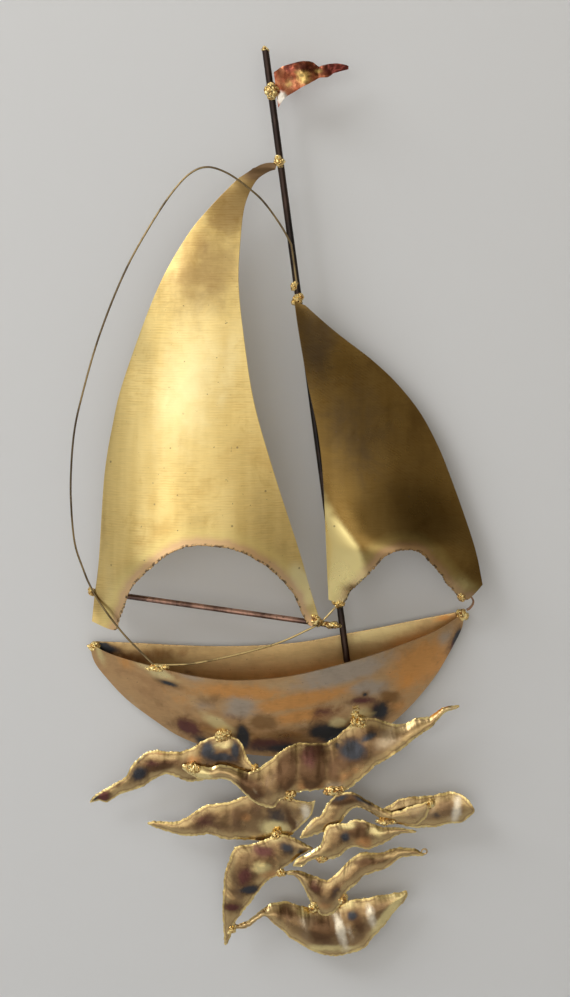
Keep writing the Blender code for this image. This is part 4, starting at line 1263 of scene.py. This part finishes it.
def wave_piece(name, upper, lower, upper_depths, lower_depths, crown):
    across, up = 240, 18
    top = flat_line(upper, across)
    bottom = flat_line(lower, across)
    inward = []
    for i in range(across + 1):
        step = top[i] - bottom[i]
        inset = min(0.5 * MM, step.length * 0.25)
        inward.append(step.normalized() * inset)
    top = [
        point - inset + inset.normalized() * MM * (torn(point) - 0.3)
        for point, inset in zip(top, inward)
    ]
    bottom = [
        point + inset + inset.normalized() * MM * (torn(point) + 0.3)
        for point, inset in zip(bottom, inward)
    ]

    def place(i, j):
        u, v = i / across, j / up
        point = bottom[i].lerp(top[i], v)
        depth = along(lower_depths, u) * (1 - v) + along(upper_depths, u) * v + wave_plane
        depth += crown * math.sin(math.pi * v) * max(math.sin(math.pi * u), 0) ** 0.5
        upright = Vector((point.x, 0, point.z * 0.3))
        bends = 1.1 * wobble(upright, 11) + 0.4 * wobble(upright, 5) + 0.15 * wobble(point, 3)
        depth += bends * min(1, 4 * u, 4 - 4 * u)
        point.y = -max(depth, over_hull(point)) * MM
        return point

    sheet = sheet_mesh(name, place, across, up, WAVE_GAUGE)
    loop = [place(i, 0) for i in range(across + 1)]
    loop += [place(i, up) for i in range(across, -1, -1)]
    loop = [point + Vector((0, -WAVE_GAUGE / 2 * MM, 0)) for point in loop]
    length = sum((a - b).length for a, b in zip(loop, loop[1:]))
    fine = even_line(loop, round(length / (0.45 * MM)))
    rim = melted_rim(name + "_cut", fine, 0.16, 0.42, 1.15, True)
    parts = [sheet, rim]
    if name in TIP_CURLS:
        parts.append(tip_curl(name + "_curl", TIP_CURLS[name]))
    mesh = joined_mesh(name, *parts)
    mark_rim(mesh, fine)
    mark_tints(mesh, WAVE_TINTS)
    return settle(add_piece(name + "_sheet", mesh, wave_brass), "wave_brass", name)


for wave_name, wave in WAVES.items():
    wave_piece(wave_name, *wave)


# Brazing: lumps of metal run together over each joint, each with its share of the joint's
# size, its shift to the side and its own step in the noise.
RUN_TOGETHER = ((0.9, 0, 1), (0.58, 0.75, 1.7), (0.5, -0.7, 2.3))
# The piece that a lump sits on, where it isn't named as its node with "_sheet".
SHOWN_AS = {
    "mast": "mast_rod", "boom": "boom_rod", "hull_front_plate": "hull_front",
}


def lump(bm, centre, sizes, seed):
    made = bmesh.ops.create_icosphere(bm, subdivisions=5, radius=1)
    across, up, deep = sizes
    for vert in made["verts"]:
        way = vert.co.copy()
        swell = (
            1 + 0.24 * noise.noise(way * 1.5 + seed) + 0.16 * noise.noise(way * 3.6 + seed)
            + 0.025 * noise.noise(way * 9 + seed)
        )
        swell -= 1.7 * max(noise.noise(way * 2.1 + seed * 1.3) - 0.18, 0)
        vert.co = centre + Vector((way.x * across, way.y * deep, way.z * up)) * swell * MM
        vert.co.y = min(vert.co.y, -0.3 * MM)


bpy.context.view_layer.update()
trees = {}
for name, (point, sizes, on) in BRAZES.items():
    if on not in trees:
        carrier = bpy.data.objects[SHOWN_AS.get(on, on + "_sheet")]
        trees[on] = BVHTree.FromObject(carrier, bpy.context.evaluated_depsgraph_get())
    drawn = at(*point)
    centre = trees[on].find_nearest(drawn)[0]
    bm = bmesh.new()
    seed = drawn * 900
    turn = noise.noise(seed * 3) * 6
    side = Vector((math.cos(turn) * sizes[0], -0.2 * sizes[2], math.sin(turn) * sizes[1]))
    for share, shift, seed_step in RUN_TOGETHER:
        lump(bm, centre + side * shift * MM, [size * share for size in sizes], seed * seed_step)
    mesh = bpy.data.meshes.new(name + "_lump")
    bm.to_mesh(mesh)
    bm.free()
    mesh.shade_smooth()
    settle(add_piece(name + "_lump", mesh, braze_gold), "braze", name)

# Plain pale wall and floor, one curved sheet, 6 mm behind the work. It is see-through
# from behind.
wall_finish = new_finish("pale_wall", 0.0)
wall_shader = wall_finish.node_tree.nodes["Principled BSDF"]
wall_shader.inputs["Base Color"].default_value = (0.76, 0.765, 0.78, 1)
wall_shader.inputs["Roughness"].default_value = 0.9
wall_side = add_node(wall_finish, "ShaderNodeNewGeometry").outputs["Backfacing"]
wall_clear = add_node(wall_finish, "ShaderNodeBsdfTransparent").outputs["BSDF"]
wall_mix = add_node(
    wall_finish, "ShaderNodeMixShader",
    {0: wall_side, 1: wall_shader.outputs["BSDF"], 2: wall_clear},
)
wall_finish.node_tree.links.new(
    wall_mix.outputs["Shader"], wall_finish.node_tree.nodes["Material Output"].inputs["Surface"]
)
WALL_Y, WALL_TOP, BEND_TOP, BEND_RADIUS, FLOOR_END = 0.006, 2.4, -0.5, 0.4, -3.5
profile = [(WALL_Y, WALL_TOP), (WALL_Y, BEND_TOP)]
for angle in range(10, 91, 10):
    turn = math.radians(angle)
    profile.append(
        (WALL_Y - BEND_RADIUS * (1 - math.cos(turn)), BEND_TOP - BEND_RADIUS * math.sin(turn))
    )
profile.append((FLOOR_END, BEND_TOP - BEND_RADIUS))
bm = bmesh.new()
previous = None
for y, z in profile:
    pair = [bm.verts.new((x, y, z)) for x in (FLOOR_END, -FLOOR_END)]
    if previous:
        bm.faces.new((previous[0], previous[1], pair[1], pair[0]))
    previous = pair
bmesh.ops.recalc_face_normals(bm, faces=bm.faces)
if sum(face.normal.y for face in bm.faces) > 0:
    bmesh.ops.reverse_faces(bm, faces=bm.faces)
wall_mesh = bpy.data.meshes.new("wall_and_floor")
bm.to_mesh(wall_mesh)
bm.free()
wall_mesh.shade_smooth()
wall = add_piece("wall_and_floor", wall_mesh, wall_finish)


def add_light(name, place, target, width, height, power, colour):
    data = bpy.data.lights.new(name, "AREA")
    data.shape = "RECTANGLE"
    data.size, data.size_y = width, height
    data.energy = power
    data.color = colour
    light = bpy.data.objects.new(name, data)
    light.location = place
    light.rotation_euler = (Vector(target) - Vector(place)).to_track_quat("-Z", "Y").to_euler()
    bpy.context.scene.collection.objects.link(light)


add_light("window", (-1.25, -2.3, 0.6), (0, 0, 0.1), 1.6, 1.4, 3.6, (1.0, 0.99, 0.97))
add_light("skylight", (-1.7, -1.1, 1.7), (0, 0, 0.1), 1.6, 1.0, 27, (0.97, 0.99, 1.0))

# The room, brighter to the left and at the work's own height.
ROOM_BRIGHTNESS = 1.4
ACROSS = [
    (0.01, 0.42), (0.07, 0.50), (0.13, 0.60), (0.22, 0.80), (0.32, 0.98), (0.38, 1.04),
    (0.5, 1.0), (0.6, 0.98), (0.66, 0.86), (0.70, (0.56, 0.53, 0.48)),
    (0.75, (0.36, 0.33, 0.28)), (0.80, (0.31, 0.28, 0.23)), (1.0, (0.27, 0.25, 0.21)),
]
UPWARD = [
    (0.03, (0.26, 0.23, 0.19)), (0.16, (0.28, 0.245, 0.20)), (0.29, (0.52, 0.46, 0.38)),
    (0.36, (0.80, 0.73, 0.63)), (0.41, (0.76, 0.70, 0.61)), (0.448, (0.66, 0.62, 0.54)),
    (0.475, (0.70, 0.68, 0.61)), (0.51, (0.88, 0.87, 0.83)), (0.545, (1.0, 1.0, 0.98)),
    (0.57, (0.97, 0.96, 0.93)), (0.604, (0.62, 0.59, 0.53)), (0.625, (0.42, 0.39, 0.33)),
    (0.655, (0.31, 0.28, 0.22)), (0.687, (0.26, 0.23, 0.175)), (0.75, (0.26, 0.235, 0.19)),
    (1.0, (0.34, 0.35, 0.36)),
]
world = bpy.data.worlds.new("soft_room")
bpy.context.scene.world = world
world.use_nodes = True
room = world.node_tree
toward = room.nodes.new("ShaderNodeTexCoord")
split = room.nodes.new("ShaderNodeSeparateXYZ")
room.links.new(toward.outputs["Generated"], split.inputs["Vector"])
shades = []
for axis, stops in (("X", ACROSS), ("Z", UPWARD)):
    span = room.nodes.new("ShaderNodeMapRange")
    span.inputs["From Min"].default_value = -1
    room.links.new(split.outputs[axis], span.inputs["Value"])
    shades.append(add_ramp(world, span.outputs["Result"], stops))
light_here = add_mix(world, 1.0, *shades, "MULTIPLY")
room.links.new(light_here, room.nodes["Background"].inputs["Color"])
room.nodes["Background"].inputs["Strength"].default_value = ROOM_BRIGHTNESS

bpy.context.scene.view_settings.view_transform = "Standard"

FOCAL_LENGTH = 66.376
CAMERA_PLACE = (0.00700, -1.26068, 0.29698)
CAMERA_TILT = 83
lens = bpy.data.cameras.new("photo_camera")
lens.sensor_width = 36
lens.lens = FOCAL_LENGTH
camera = bpy.data.objects.new("photo_camera", lens)
camera.location = CAMERA_PLACE
camera.rotation_euler = (math.radians(CAMERA_TILT), 0, 0)
bpy.context.scene.collection.objects.link(camera)
bpy.context.scene.camera = camera
